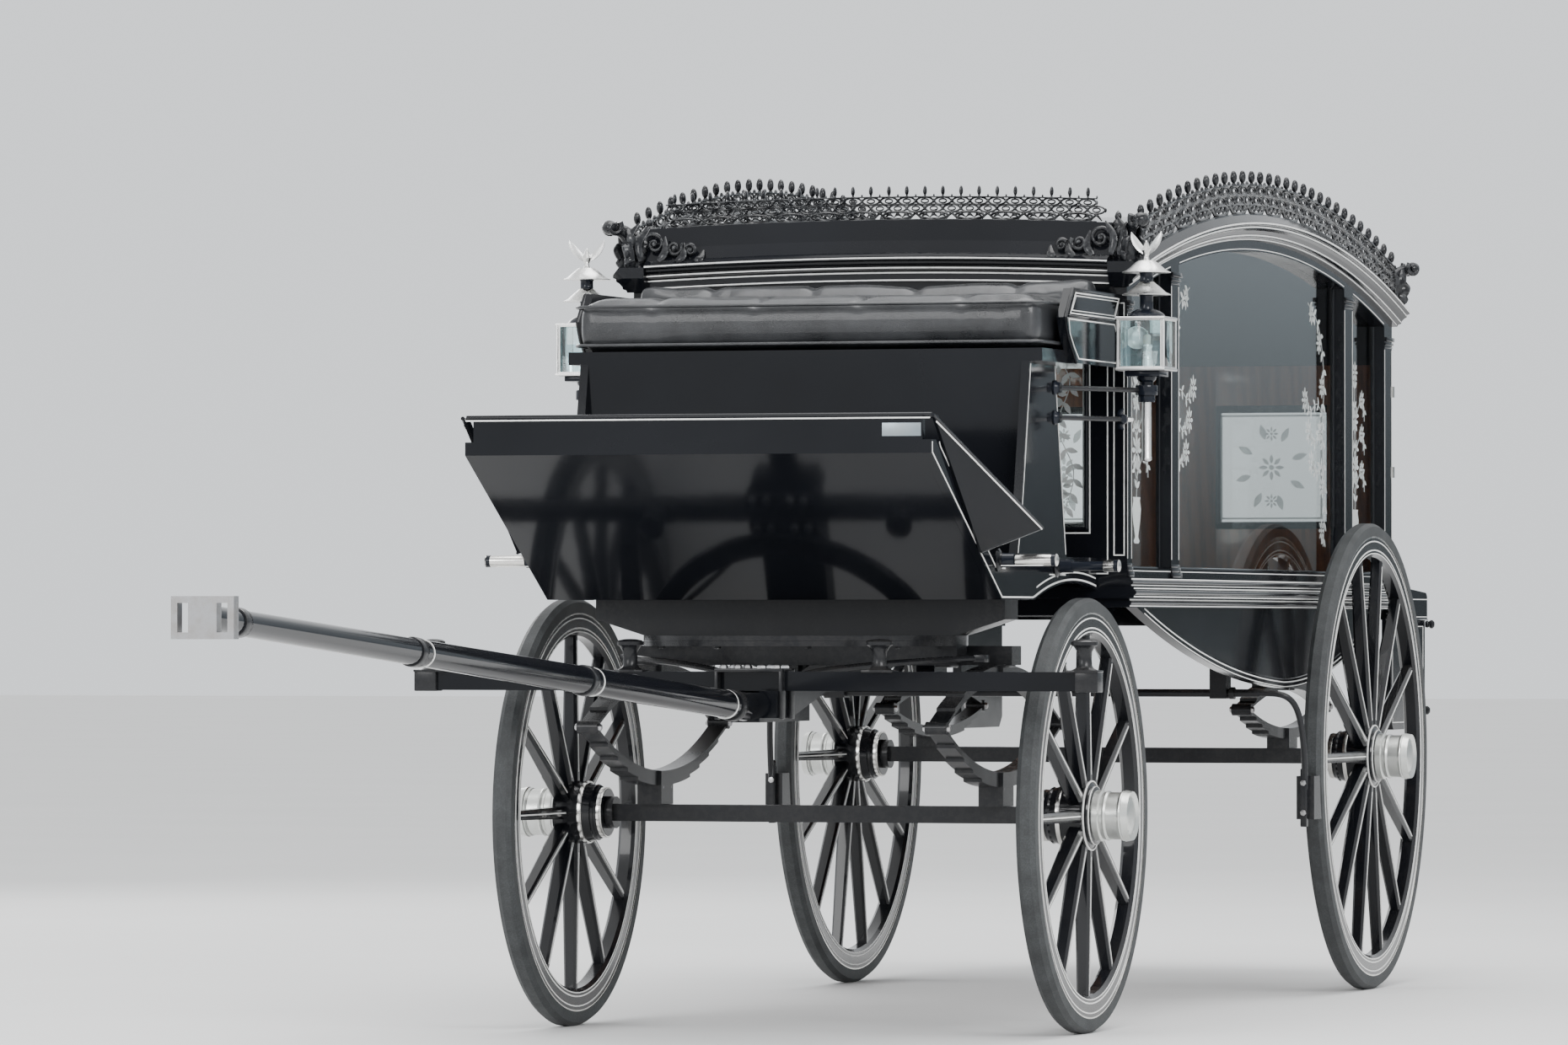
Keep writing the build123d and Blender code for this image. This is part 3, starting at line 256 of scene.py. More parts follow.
def new_group(
    name: str, inputs: Sequence[tuple[str, str, object]], outputs: Sequence[tuple[str, str]]
) -> Graph:
    """Make a shader node group with named sockets.

    Args:
        name: the group's name.
        inputs: socket name, kind and default of each input.
        outputs: socket name and kind of each output.

    Returns:
        The graph that holds the group's input and output nodes.
    """
    tree = bpy.data.node_groups.new(name, "ShaderNodeTree")
    for socket_name, kind, value in inputs:
        socket = tree.interface.new_socket(socket_name, in_out="INPUT", socket_type=kind)
        socket.default_value = value
    for socket_name, kind in outputs:
        tree.interface.new_socket(socket_name, in_out="OUTPUT", socket_type=kind)
    graph = Graph(tree)
    graph.add("NodeGroupInput")
    graph.add("NodeGroupOutput")
    return graph


FLOAT = "NodeSocketFloat"
COLOR = "NodeSocketColor"


@cache
def dust_group() -> NodeTree:
    """Return the group that lays road dust on faces that look up and in patches."""
    graph = new_group(
        "road_dust",
        [
            ("Color", COLOR, (0, 0, 0, 1)),
            ("Roughness", FLOAT, 0.2),
            ("Dust Color", COLOR, (0.32, 0.29, 0.25, 1)),
            ("Amount", FLOAT, 0.2),
            ("Scale", FLOAT, 9.0),
        ],
        [("Color", COLOR), ("Roughness", FLOAT)],
    )
    source, sink = graph.tree.nodes[0], graph.tree.nodes[1]
    place = graph.place()
    patches = graph.ramp(graph.noise(place, source.outputs["Scale"], 6, 0.62), [(0.42, 0), (0.72, 1)])
    grains = graph.ramp(graph.noise(place, 240.0, 3, 0.7), [(0.45, 0.35), (0.7, 1)])
    normal = graph.add("ShaderNodeSeparateXYZ")
    graph.feed(normal.inputs[0], graph.add("ShaderNodeNewGeometry").outputs["Normal"])
    upward = graph.scaled(graph.math("MAXIMUM", normal.outputs[2], 0.0), 0.85, 0.15)
    mask = graph.product(patches, grains, upward, source.outputs["Amount"])
    color = graph.mix(mask, source.outputs["Color"], source.outputs["Dust Color"])
    rough = graph.math("ADD", source.outputs["Roughness"], graph.product(mask, 0.6))
    graph.put(sink, Color=color, Roughness=rough)
    return graph.tree


@cache
def wear_group() -> NodeTree:
    """Return the group that rubs edges and corners through to another colour."""
    graph = new_group(
        "edge_wear",
        [("Color", COLOR, (0, 0, 0, 1)), ("Worn Color", COLOR, (0.2, 0.2, 0.2, 1)), ("Amount", FLOAT, 0.3)],
        [("Color", COLOR)],
    )
    source, sink = graph.tree.nodes[0], graph.tree.nodes[1]
    place = graph.place()
    edge = graph.ramp(graph.add("ShaderNodeNewGeometry").outputs["Pointiness"], [(0.53, 0), (0.62, 1)])
    broken = graph.ramp(graph.noise(place, 60.0, 5, 0.65), [(0.44, 0), (0.58, 1)])
    mask = graph.product(edge, broken, source.outputs["Amount"])
    color = graph.mix(mask, source.outputs["Color"], source.outputs["Worn Color"])
    graph.put(sink, Color=color)
    return graph.tree


@cache
def grain_group() -> NodeTree:
    """Return the group that makes the relief of brush marks, hammering or leather pores."""
    graph = new_group(
        "surface_grain",
        [
            ("Fine Scale", FLOAT, 300.0), ("Broad Scale", FLOAT, 20.0), ("Fine", FLOAT, 0.5),
            ("Broad", FLOAT, 0.5),
        ],
        [("Height", FLOAT)],
    )
    source, sink = graph.tree.nodes[0], graph.tree.nodes[1]
    place = graph.place()
    fine = graph.product(graph.noise(place, source.outputs["Fine Scale"], 3, 0.6), source.outputs["Fine"])
    broad = graph.product(
        graph.noise(place, source.outputs["Broad Scale"], 2, 0.5), source.outputs["Broad"]
    )
    graph.feed(sink.inputs["Height"], graph.math("ADD", fine, broad))
    return graph.tree


class MaterialGraph(Graph):
    """The nodes of a new material, with a Principled shader on its output."""

    def __init__(self, name: str) -> None:
        """Make the material and its shader.

        Args:
            name: the material's name.
        """
        self.material = bpy.data.materials.new(name)
        self.material.use_nodes = True
        super().__init__(self.material.node_tree)
        self.shader = self.add("ShaderNodeBsdfPrincipled")
        output = self.add("ShaderNodeOutputMaterial")
        self.feed(output.inputs["Surface"], self.shader.outputs[0])

    def group(self, build: Callable[[], NodeTree], **inputs: object) -> Node:
        """Put in a shared group with its own values."""
        return self.put(self.add("ShaderNodeGroup", node_tree=build()), **inputs)

    def shade(self, **inputs: object) -> Material:
        """Set the shader's inputs and return the material."""
        self.put(self.shader, **inputs)
        return self.material


# Finishes


@dataclass(frozen=True)
class CoachPaint:
    """Rubbed-down gloss paint on wood or iron."""

    name: str
    color: Color = (0.0035, 0.004, 0.0055)
    worn: Color = (0.05, 0.05, 0.052)
    roughness: float = 0.1
    coat: float = 0.05
    dust: float = 0.02
    wear: float = 0.0
    ripple: float = 0.0006
    shine: float = 0.24

    def make(self) -> Material:
        """Build the material."""
        graph = MaterialGraph(self.name)
        place = graph.place()
        tone = graph.ramp(graph.noise(place, 1.7, 3), [(0.3, 0), (0.7, 1)])
        base = graph.mix(tone, (*self.color, 1), (*[c * 1.8 + 0.001 for c in self.color], 1))
        worn = graph.group(wear_group, Color=base, Worn_Color=(*self.worn, 1), Amount=self.wear)
        dusty = graph.group(
            dust_group,
            Color=worn.outputs["Color"],
            Roughness=self.roughness,
            Amount=self.dust,
            Scale=5.0,
        )
        grain = graph.group(grain_group, Fine_Scale=420.0, Broad_Scale=7.0, Fine=0.04, Broad=1.0)
        normal = graph.relief(grain.outputs["Height"], 0.6, self.ripple)
        return graph.shade(
            Base_Color=dusty.outputs["Color"],
            Roughness=dusty.outputs["Roughness"],
            Normal=normal,
            Specular_IOR_Level=self.shine,
            Coat_Weight=self.coat,
            Coat_Roughness=0.04,
        )


@dataclass(frozen=True)
class PlatedMetal:
    """Polished silver plate or bright steel, a little tarnished."""

    name: str
    color: Color = (0.83, 0.82, 0.79)
    tarnish: Color = (0.4, 0.37, 0.32)
    roughness: float = 0.14
    amount: float = 0.35

    def make(self) -> Material:
        """Build the material."""
        graph = MaterialGraph(self.name)
        place = graph.place()
        patch = graph.ramp(graph.noise(place, 26.0, 6, 0.6), [(0.42, 0), (0.75, 1)])
        mask = graph.product(patch, self.amount)
        color = graph.mix(mask, (*self.color, 1), (*self.tarnish, 1))
        rough = graph.scaled(patch, 0.16, self.roughness)
        grain = graph.group(grain_group, Fine_Scale=900.0, Broad_Scale=60.0, Fine=0.6, Broad=0.6)
        normal = graph.relief(grain.outputs["Height"], 0.08, 0.002)
        return graph.shade(Base_Color=color, Roughness=rough, Metallic=1.0, Normal=normal)


@dataclass(frozen=True)
class TyreRubber:
    """Solid rubber tyre, greyed by road dust."""

    name: str
    color: Color = (0.012, 0.0135, 0.0145)
    dusty: Color = (0.055, 0.06, 0.062)

    def make(self) -> Material:
        """Build the material."""
        graph = MaterialGraph(self.name)
        place = graph.place()
        patch = graph.ramp(graph.noise(place, 14.0, 8, 0.7), [(0.35, 0.15), (0.7, 1)])
        specks = graph.ramp(graph.noise(place, 260.0, 2, 0.6), [(0.4, 0.5), (0.65, 1)])
        mask = graph.product(patch, specks)
        color = graph.mix(mask, (*self.color, 1), (*self.dusty, 1))
        grain = graph.group(grain_group, Fine_Scale=380.0, Broad_Scale=40.0, Fine=1.0, Broad=0.5)
        normal = graph.relief(grain.outputs["Height"], 0.3, 0.002)
        return graph.shade(Base_Color=color, Roughness=0.58, Normal=normal)


@dataclass(frozen=True)
class VarnishedWood:
    """Brown boards under varnish, the grain along one axis."""

    name: str
    dark: Color = (0.055, 0.02, 0.008)
    light: Color = (0.2, 0.085, 0.035)
    along: int = 1
    roughness: float = 0.28

    def make(self) -> Material:
        """Build the material."""
        graph = MaterialGraph(self.name)
        mapping = graph.add("ShaderNodeMapping")
        scale = [14.0, 14.0, 14.0]
        scale[self.along] = 1.1
        graph.put(mapping, Vector=graph.place(), Scale=tuple(scale))
        bands = graph.add("ShaderNodeTexWave", wave_type="BANDS", bands_direction="DIAGONAL")
        graph.put(bands, Vector=mapping.outputs[0], Scale=1.3, Distortion=7.0, Detail=4.0, Detail_Scale=1.6)
        pores = graph.noise(mapping.outputs[0], 26.0, 5, 0.7)
        figure = graph.math("ADD", graph.product(bands.outputs["Fac"], 0.28), graph.product(pores, 0.75))
        color = graph.mix(graph.ramp(figure, [(0.25, 0), (0.9, 1)]), (*self.dark, 1), (*self.light, 1))
        dusty = graph.group(dust_group, Color=color, Roughness=self.roughness, Amount=0.12, Scale=6.0)
        normal = graph.relief(figure, 0.15, 0.002)
        return graph.shade(
            Base_Color=dusty.outputs["Color"],
            Roughness=dusty.outputs["Roughness"],
            Normal=normal,
            Coat_Weight=0.5,
            Coat_Roughness=0.08,
        )


@dataclass(frozen=True)
class GlossLeather:
    """Black glossy leather with creases and pores."""

    name: str
    color: Color = (0.012, 0.013, 0.015)
    light: Color = (0.04, 0.042, 0.046)

    def make(self) -> Material:
        """Build the material."""
        graph = MaterialGraph(self.name)
        place = graph.place()
        cells = graph.add("ShaderNodeTexVoronoi", feature="DISTANCE_TO_EDGE")
        graph.put(cells, Vector=place, Scale=260.0)
        pores = graph.ramp(cells.outputs[0], [(0.0, 0), (0.12, 1)])
        folds = graph.noise(place, 9.0, 5, 0.6)
        color = graph.mix(graph.ramp(folds, [(0.35, 0), (0.7, 1)]), (*self.color, 1), (*self.light, 1))
        height = graph.math("ADD", graph.product(pores, 0.5), folds)
        normal = graph.relief(height, 0.25, 0.002)
        rough = graph.scaled(folds, 0.2, 0.2)
        return graph.shade(Base_Color=color, Roughness=rough, Normal=normal, Coat_Weight=0.25)


@dataclass(frozen=True)
class ClearGlass:
    """Plate glass, clear or with a faint frost."""

    name: str
    tint: Color = (0.93, 0.97, 0.965)
    roughness: float = 0.0

    def make(self) -> Material:
        """Build the material."""
        graph = MaterialGraph(self.name)
        place = graph.place()
        smear = graph.ramp(graph.noise(place, 3.0, 6, 0.6), [(0.45, 0), (0.85, 1)])
        color = graph.mix(graph.product(smear, 0.12), (*self.tint, 1), (0.8, 0.84, 0.84, 1))
        rough = graph.scaled(smear, 0.03, self.roughness)
        return graph.shade(Base_Color=color, Roughness=rough, Transmission_Weight=1.0, IOR=1.6)


@dataclass(frozen=True)
class FrostedGlass:
    """Acid-etched figure on glass: matt, pale and half clear."""

    name: str
    color: Color = (0.93, 0.96, 0.95)
    alpha: float = 0.8

    def make(self) -> Material:
        """Build the material."""
        graph = MaterialGraph(self.name)
        place = graph.place()
        frost = graph.noise(place, 420.0, 2, 0.5)
        color = graph.mix(
            graph.ramp(frost, [(0.35, 0), (0.7, 1)]), (*[c * 0.86 for c in self.color], 1), (*self.color, 1)
        )
        normal = graph.relief(frost, 0.3, 0.001)
        alpha = graph.product(graph.scaled(frost, 0.3, 0.85), self.alpha)
        return graph.shade(
            Base_Color=color, Roughness=0.62, Normal=normal, Alpha=alpha, Transmission_Weight=0.55
        )


@dataclass(frozen=True)
class LiningPaint:
    """Fine line of white coach paint, laid by brush."""

    name: str
    color: Color = (0.88, 0.88, 0.86)
    worn: Color = (0.4, 0.39, 0.37)

    def make(self) -> Material:
        """Build the material."""
        graph = MaterialGraph(self.name)
        place = graph.place()
        patch = graph.ramp(graph.noise(place, 60.0, 5, 0.65), [(0.5, 0), (0.75, 1)])
        color = graph.mix(graph.product(patch, 0.5), (*self.color, 1), (*self.worn, 1))
        return graph.shade(Base_Color=color, Roughness=0.35)


@dataclass(frozen=True)
class BandedLamp:
    """Silver plate and black paint in turn up the height of a lamp."""

    name: str
    steps: tuple[Pair, ...]
    low: float = 1.3
    high: float = 1.9

    def make(self) -> Material:
        """Build the material."""
        graph = MaterialGraph(self.name)
        place = graph.place()
        axes = graph.add("ShaderNodeSeparateXYZ")
        graph.feed(axes.inputs[0], place)
        level = graph.math(
            "DIVIDE", graph.math("SUBTRACT", axes.outputs[2], self.low), self.high - self.low
        )
        stops = [((z - self.low) / (self.high - self.low), silver) for z, silver in self.steps]
        silver = graph.ramp(level, stops, stepped=True)
        tarnish = graph.ramp(graph.noise(place, 30.0, 5, 0.6), [(0.4, 0), (0.8, 0.5)])
        plate = graph.mix(tarnish, (0.84, 0.84, 0.82, 1), (0.5, 0.48, 0.44, 1))
        return graph.shade(
            Base_Color=graph.mix(silver, (0.007, 0.009, 0.014, 1), plate),
            Metallic=silver,
            Roughness=graph.scaled(tarnish, 0.2, 0.12),
        )


@dataclass(frozen=True)
class Wax:
    """Candle wax that lets light in."""

    name: str
    color: Color = (0.86, 0.83, 0.74)

    def make(self) -> Material:
        """Build the material."""
        graph = MaterialGraph(self.name)
        cloud = graph.noise(graph.place(), 40.0, 3)
        tone = graph.mix(cloud, (*self.color, 1), (*[c * 0.9 for c in self.color], 1))
        return graph.shade(Base_Color=tone, Roughness=0.45, Subsurface_Weight=0.2, Subsurface_Scale=0.01)


FINISHES = (
    CoachPaint("coach_black"),
    CoachPaint("wheel_black", roughness=0.2, coat=0.4, dust=0.08, wear=0.08),
    CoachPaint(
        "iron_black", color=(0.009, 0.0095, 0.011), roughness=0.26, coat=0.1, dust=0.2, wear=0.12,
        worn=(0.08, 0.075, 0.07),
    ),
    CoachPaint("carved_black", roughness=0.16, coat=0.2, dust=0.14, wear=0.5, worn=(0.16, 0.165, 0.17)),
    # painted shade: a copy of the coach paint with its shine and coat cut, so the wing looks darker as if
    # it stood in shade
    CoachPaint("wing_black", roughness=0.3, coat=0.0, shine=0.06),
    PlatedMetal("silver_plate"),
    PlatedMetal("lamp_silver", color=(0.84, 0.84, 0.83), roughness=0.27, amount=0.08),
    # painted reflection: pale blue-grey metal for the patch of sky mirrored at the dash's fold
    PlatedMetal("dull_plate", color=(0.3, 0.35, 0.38), roughness=0.35, amount=0.2),
    PlatedMetal("cap_silver", color=(0.7, 0.715, 0.69), roughness=0.3, amount=0.25),
    PlatedMetal(
        "steel_bright", color=(0.5, 0.5, 0.51), tarnish=(0.2, 0.17, 0.14), roughness=0.28,
        amount=0.6,
    ),
    TyreRubber("tyre_rubber"),
    VarnishedWood("deck_wood"),
    VarnishedWood("door_wood", dark=(0.13, 0.042, 0.016), light=(0.3, 0.11, 0.045), along=2),
    GlossLeather("seat_leather"),
    ClearGlass("clear_glass"),
    FrostedGlass("etched_figure"),
    LiningPaint("white_lining"),
    CoachPaint("lamp_black", color=(0.007, 0.009, 0.014), roughness=0.1),
    ClearGlass("lamp_pane_glass", tint=(0.8, 0.95, 0.97), roughness=0.02),
    Wax("candle_wax"),
    BandedLamp(
        "lamp_bands",
        ((1.3, 1), (1.481, 0), (1.5556, 1), (1.6822, 0), (1.7365, 1), (1.7672, 0), (1.7893, 1)),
    ),
)


PALETTE = {finish.name: finish for finish in FINISHES}


@cache
def coating(finish: str) -> Material:
    """Return a finish's material, made on first use."""
    return PALETTE[finish].make()


# Slot of the record for each finish that isn't named as its slot is
SLOTS = {
    **dict.fromkeys(("wheel_black", "carved_black", "lamp_black", "white_lining"), "coach_black"),
    **dict.fromkeys(("lamp_silver", "cap_silver"), "silver_plate"),
    **dict.fromkeys(("deck_wood", "door_wood"), "brown_wood"),
    "dull_plate": "steel_bright",
    **dict.fromkeys(("candle_wax", "lamp_pane_glass"), "lamp_glass"),
    "etched_figure": "etched_glass",
}

# Starts of the node names that each finish covers; all others are coach black
NODE_FINISH = {
    "wheel_black": ("wheel_",),
    "tyre_rubber": ("tyre_",),
    "cap_silver": ("hub_cap_",),
    "clear_glass": ("glass_", "door_glass_", "lamp_glasses"),
    "lamp_bands": ("lamps",),
    "lamp_black": ("step_pegs",),
    # the wings get the duller copy of the paint, which paints shade on them
    "wing_black": ("dash_wings",),
    "silver_plate": ("door_handle", "door_hinges"),
    "deck_wood": ("deck",),
    "seat_leather": ("seat_cushions",),
    "iron_black": (
        "lamp_arms", "front_axle", "rear_axle", "front_springs", "rear_springs", "turntable_", "brake_"
    ),
    "steel_bright": ("pole_head",),
    "carved_black": ("gallery_cresting", "corner_finials"),
}


def dress_nodes(nodes: dict[str, Object]) -> None:
    """Give every node of the frame its finish.

    Args:
        nodes: the frame's nodes by name.
    """
    for name, obj in nodes.items():
        finish = next(
            (key for key, starts in NODE_FINISH.items() if name.startswith(starts)), "coach_black"
        )
        obj.data.materials.clear()
        obj.data.materials.append(coating(finish))
    log.info("dressed %d nodes", len(nodes))


# Mesh helpers


def points(*rows: Row) -> list[Vector]:
    """Return rows of three numbers as vectors."""
    return [Vector(row) for row in rows]


def on_side(x: float, rows: Iterable[Pair]) -> list[Vector]:
    """Return (Y, Z) rows as points of a side face at X."""
    return [Vector((x, y, z)) for y, z in rows]


def on_front(y: float, rows: Iterable[Pair]) -> list[Vector]:
    """Return (X, Z) rows as points of a cross face at Y."""
    return [Vector((x, y, z)) for x, z in rows]


def even_angles(count: int) -> list[float]:
    """Return even angles round a full turn."""
    return [tau * n / count for n in range(count)]


def arc(
    centre: Pair, radius: float, low: float, high: float, count: int
) -> list[Pair]:
    """Return points of an arc whose first coordinate runs between two places."""
    steps = [low + (high - low) * n / (count - 1) for n in range(count)]
    return [(step, centre[1] + sqrt(radius**2 - (step - centre[0]) ** 2)) for step in steps]


def bow(centre: Pair, radius: float, half: float, steps: int) -> list[Pair]:
    """Return evenly spaced points of an arc that reaches equally far to both sides of its crown."""
    angles = [half / radius * (n / steps - 1) for n in range(2 * steps + 1)]
    return [(centre[0] + radius * sin(a), centre[1] + radius * cos(a)) for a in angles]


def arch_height(y: float, radius: float) -> float:
    """Return the height of a circle about the arch's centre at a place along the body."""
    return ARCH[1] + sqrt(radius**2 - (y - ARCH[0]) ** 2)


def stretch(values: Sequence[float], count: int) -> list[float]:
    """Return the values resampled evenly to another count.

    Args:
        values: the values.
        count: how many come out.

    Returns:
        The resampled values.
    """
    rows = []
    for n in range(count):
        spot = n * (len(values) - 1) / max(1, count - 1)
        low = min(int(spot), len(values) - 2)
        rows.append(values[low] + (values[low + 1] - values[low]) * (spot - low))
    return rows


def smooth_path(rows: Sequence[Row], per_span: int = 6) -> list[Vector]:
    """Return a smooth curve through the given points.

    Args:
        rows: the points, as rows of numbers.
        per_span: steps between two points.

    Returns:
        The points of the curve.
    """
    knots = [Vector(row) for row in rows]
    knots = [2 * knots[0] - knots[1], *knots, 2 * knots[-1] - knots[-2]]
    path = []
    for a, b, c, d in zip(knots, knots[1:], knots[2:], knots[3:]):
        for step in range(per_span):
            t = step / per_span
            bend, twist = 2 * a - 5 * b + 4 * c - d, 3 * b - a - 3 * c + d
            path.append(0.5 * (2 * b + (c - a) * t + bend * t**2 + twist * t**3))
    return [*path, knots[-2]]


def spiral(
    middle: Row, radius: float, turns: float, start: float, count: int = 22
) -> list[Pair]:
    """Return a flat spiral that winds in towards its middle.

    Args:
        middle: its middle.
        radius: its radius.
        turns: number of turns.
        start: angle at the outer end.
        count: number of points.

    Returns:
        Rows of two coordinates.
    """
    rows = []
    for n in range(count):
        share = n / (count - 1)
        angle = start + turns * tau * share
        reach = radius * (1 - 0.82 * share)
        rows.append((middle[0] + reach * cos(angle), middle[1] + reach * sin(angle)))
    return rows


class Shape:
    """A mesh under construction, in millimetres on the frame's own axes."""

    def __init__(self) -> None:
        """Start with no geometry."""
        self.form = bmesh.new()

    def loft(self, rings: Sequence[Sequence[Vector]], looped: bool = False, closed: bool = True) -> None:
        """Skin rings that have equal numbers of points.

        Args:
            rings: the rings in order.
            looped: whether the last ring joins the first.
            closed: whether each ring is closed, and its ends capped.
        """
        rows = [[self.form.verts.new(point) for point in ring] for ring in rings]
        size = len(rows[0])
        pairs = list(zip(rows, rows[1:]))
        if looped:
            pairs.append((rows[-1], rows[0]))
        for low, high in pairs:
            for n in range(size if closed else size - 1):
                m = (n + 1) % size
                self.form.faces.new((low[n], low[m], high[m], high[n]))
        if closed and not looped:
            self.form.faces.new(rows[0])
            self.form.faces.new(list(reversed(rows[-1])))

    def ribbon(
        self, path: Sequence[Vector], normal: Row, width: float, looped: bool = False, rise: float = 0.8
    ) -> None:
        """Lay a fine flat line on a surface, mitred at its corners.

        Args:
            path: the line's middle, on the surface.
            normal: the surface's outward direction.
            width: width of the line.
            looped: whether the line closes on itself.
            rise: how far it stands proud.
        """
        up = Vector(normal).normalized()
        count = len(path)
        rings = []
        for n, point in enumerate(path):
            legs = []
            if n or looped:
                legs.append((point - path[n - 1]).normalized())
            if n < count - 1 or looped:
                legs.append((path[(n + 1) % count] - point).normalized())
            tangent = sum(legs, Vector()).normalized()
            across = tangent.cross(up).normalized()
            lean = max(0.3, abs(across.dot(legs[0].cross(up).normalized())))
            half = across * (width / 2 / lean)
            sunk, proud = point - up * 0.6, point + up * rise
            rings.append([sunk - half, sunk + half, proud + half, proud - half])
        self.loft(rings, looped)

    def tube(
        self, path: Sequence[Vector], radius: float | Sequence[float], sides: int = 8, looped: bool = False,
        flat: float = 1.0, up: Row | None = None,
    ) -> None:
        """Run a bar along a path.

        Args:
            path: the bar's middle.
            radius: one radius, or radii spread evenly along the path.
            sides: number of sides.
            looped: whether the bar closes on itself.
            flat: thickness along the second direction as a share of the first.
            up: direction that the second direction keeps to.
        """
        count = len(path)
        radii = [radius] * count if isinstance(radius, (int, float)) else stretch(radius, count)
        guide = Vector(up) if up else None
        rings = []
        for n, point in enumerate(path):
            before = path[n - 1] if n or looped else point
            after = path[(n + 1) % count] if n < count - 1 or looped else point
            tangent = (after - before).normalized()
            if guide is None:
                guide = tangent.orthogonal()
            across = tangent.cross(guide).normalized()
            second = across.cross(tangent).normalized()
            if up is None:
                guide = second
            ring = []
            for k in range(sides):
                angle = tau * (k + 0.5) / sides
                ring.append(
                    point
                    + across * (cos(angle) * radii[n])
                    + second * (sin(angle) * radii[n] * flat)
                )
            rings.append(ring)
        self.loft(rings, looped)

    def side_line(self, x: float, rows: Iterable[Row], width: float, **settings: object) -> None:
        """Lay a line of (Y, Z) rows on a left side face at X."""
        self.ribbon(on_side(x, rows), OUTWARD, width, **settings)

    def front_line(self, y: float, rows: Iterable[Row], width: float, **settings: object) -> None:
        """Lay a line of (X, Z) rows on a face at Y that looks forward."""
        self.ribbon(on_front(y, rows), FORWARD, width, **settings)

    def rear_line(self, y: float, rows: Iterable[Row], width: float, **settings: object) -> None:
        """Lay a line of (X, Z) rows on a face at Y that looks back."""
        self.ribbon(on_front(y, rows), BACKWARD, width, **settings)

    def side_bar(
        self, x: float, rows: Iterable[Row], radius: float, sides: int, **settings: object
    ) -> None:
        """Run a bar through (Y, Z) rows at X."""
        self.tube(on_side(x, rows), radius, sides, **settings)

    def cross_bar(self, y: float, rows: Iterable[Row], radius: float, sides: int) -> None:
        """Run a bar through (X, Z) rows at Y."""
        self.tube(on_front(y, rows), radius, sides)

    def turned(
        self, profile: Sequence[Pair], place: Row, axis: Row = UPWARD, sides: int = 32,
        closed: bool = False,
    ) -> None:
        """Turn a profile of (radius, along) about an axis through a place.

        Args:
            profile: the outline, from axis to axis unless it is closed.
            place: the point at along 0.
            axis: direction of the axis.
            sides: number of steps round the axis.
            closed: whether the profile is a closed ring, as for a hoop.
        """
        along = Vector(axis).normalized()
        first = along.orthogonal().normalized()
        second = along.cross(first)
        rings = []
        for angle in even_angles(sides):
            out = first * cos(angle) + second * sin(angle)
            rings.append(
                [Vector(place) + along * level + out * max(radius, 0.0) for radius, level in profile]
            )
        self.loft(rings, looped=True, closed=closed)

    def slab(self, outline: Sequence[Vector], depth: Row, bevel: float = 0.0) -> None:
        """Cut a plate to a flat outline, its far face drawn in by a bevel.

        Args:
            outline: the outline, in order.
            depth: vector to the far face.
            bevel: how far its edge is softened.
        """
        run = Vector(depth)
        middle = sum(outline, Vector()) / len(outline)
        near = list(outline)
        far = [point + run for point in outline]
        if bevel:
            rim = [point + run * (1 - min(0.6, bevel / run.length)) for point in outline]
            far = [point + run - (point - middle).normalized() * bevel for point in outline]
            self.loft([near, rim, far])
        else:
            self.loft([near, far])

    def block(self, low: Row, high: Row, bevel: float = 2.0) -> None:
        """Add a bar with softened edges between two corners.

        Args:
            low: lowest corner.
            high: highest corner.
            bevel: how far its edge is softened.
        """
        made = bmesh.ops.create_cube(self.form, size=1.0)
        span = Vector(high) - Vector(low)
        middle = (Vector(high) + Vector(low)) / 2
        for vert in made["verts"]:
            vert.co = middle + Vector(c * s for c, s in zip(vert.co, span))
        edges = list(dict.fromkeys(edge for vert in made["verts"] for edge in vert.link_edges))
        bmesh.ops.bevel(
            self.form, geom=edges, offset=min(bevel, min(span) * 0.45), segments=2, profile=0.6,
            affect="EDGES",
        )

    def add_mesh(self, mesh: Mesh, matrix: Matrix | None = None) -> None:
        """Add a finished mesh, moved by a matrix.

        Args:
            mesh: the finished mesh.
            matrix: the move, if any.
        """
        known = set(self.form.verts)
        self.form.from_mesh(mesh)
        if matrix is not None:
            bmesh.ops.transform(
                self.form, matrix=matrix, verts=[v for v in self.form.verts if v not in known]
            )

    def reflect(self, axis: int = 0, middle: float = 0.0) -> None:
        """Add the mirror image of everything so far about a plane across one axis.

        Args:
            axis: the axis across the plane.
            middle: place of the plane on that axis.
        """
        made = bmesh.ops.duplicate(
            self.form, geom=self.form.verts[:] + self.form.edges[:] + self.form.faces[:]
        )["geom"]
        for item in made:
            if isinstance(item, bmesh.types.BMVert):
                item.co[axis] = 2 * middle - item.co[axis]
        bmesh.ops.reverse_faces(
            self.form, faces=[item for item in made if isinstance(item, bmesh.types.BMFace)]
        )

    def mesh(self, name: str, merge: float = 0.01) -> Mesh:
        """Close the work: merge doubles, turn the normals out and return the mesh, still in millimetres.

        Args:
            name: the mesh's name.
            merge: distance at which points become one.

        Returns:
            The mesh.
        """
        bmesh.ops.remove_doubles(self.form, verts=self.form.verts[:], dist=merge)
        bmesh.ops.dissolve_degenerate(self.form, edges=self.form.edges[:], dist=merge / 2)
        bmesh.ops.recalc_face_normals(self.form, faces=self.form.faces[:])
        mesh = bpy.data.meshes.new(name)
        self.form.to_mesh(mesh)
        self.form.free()
        return mesh

    def publish(
        self, name: str, finish: str, body: Body | str = Body.CARRIAGE, sharp_deg: float = 38.0
    ) -> Object:
        """Make the object, give it its finish and let it ride on a body.

        Args:
            name: the piece's name.
            finish: a finish of the palette.
            body: the body it moves with.
            sharp_deg: edges sharper than this stay crisp.

        Returns:
            The object.
        """
        mesh = self.mesh(name)
        mesh.transform(Matrix.Scale(MM, 4))
        mesh.shade_smooth()
        mesh.set_sharp_from_angle(angle=radians(sharp_deg))
        obj = link_piece(name, mesh)
        coat_and_ride(obj, finish, body)
        return obj


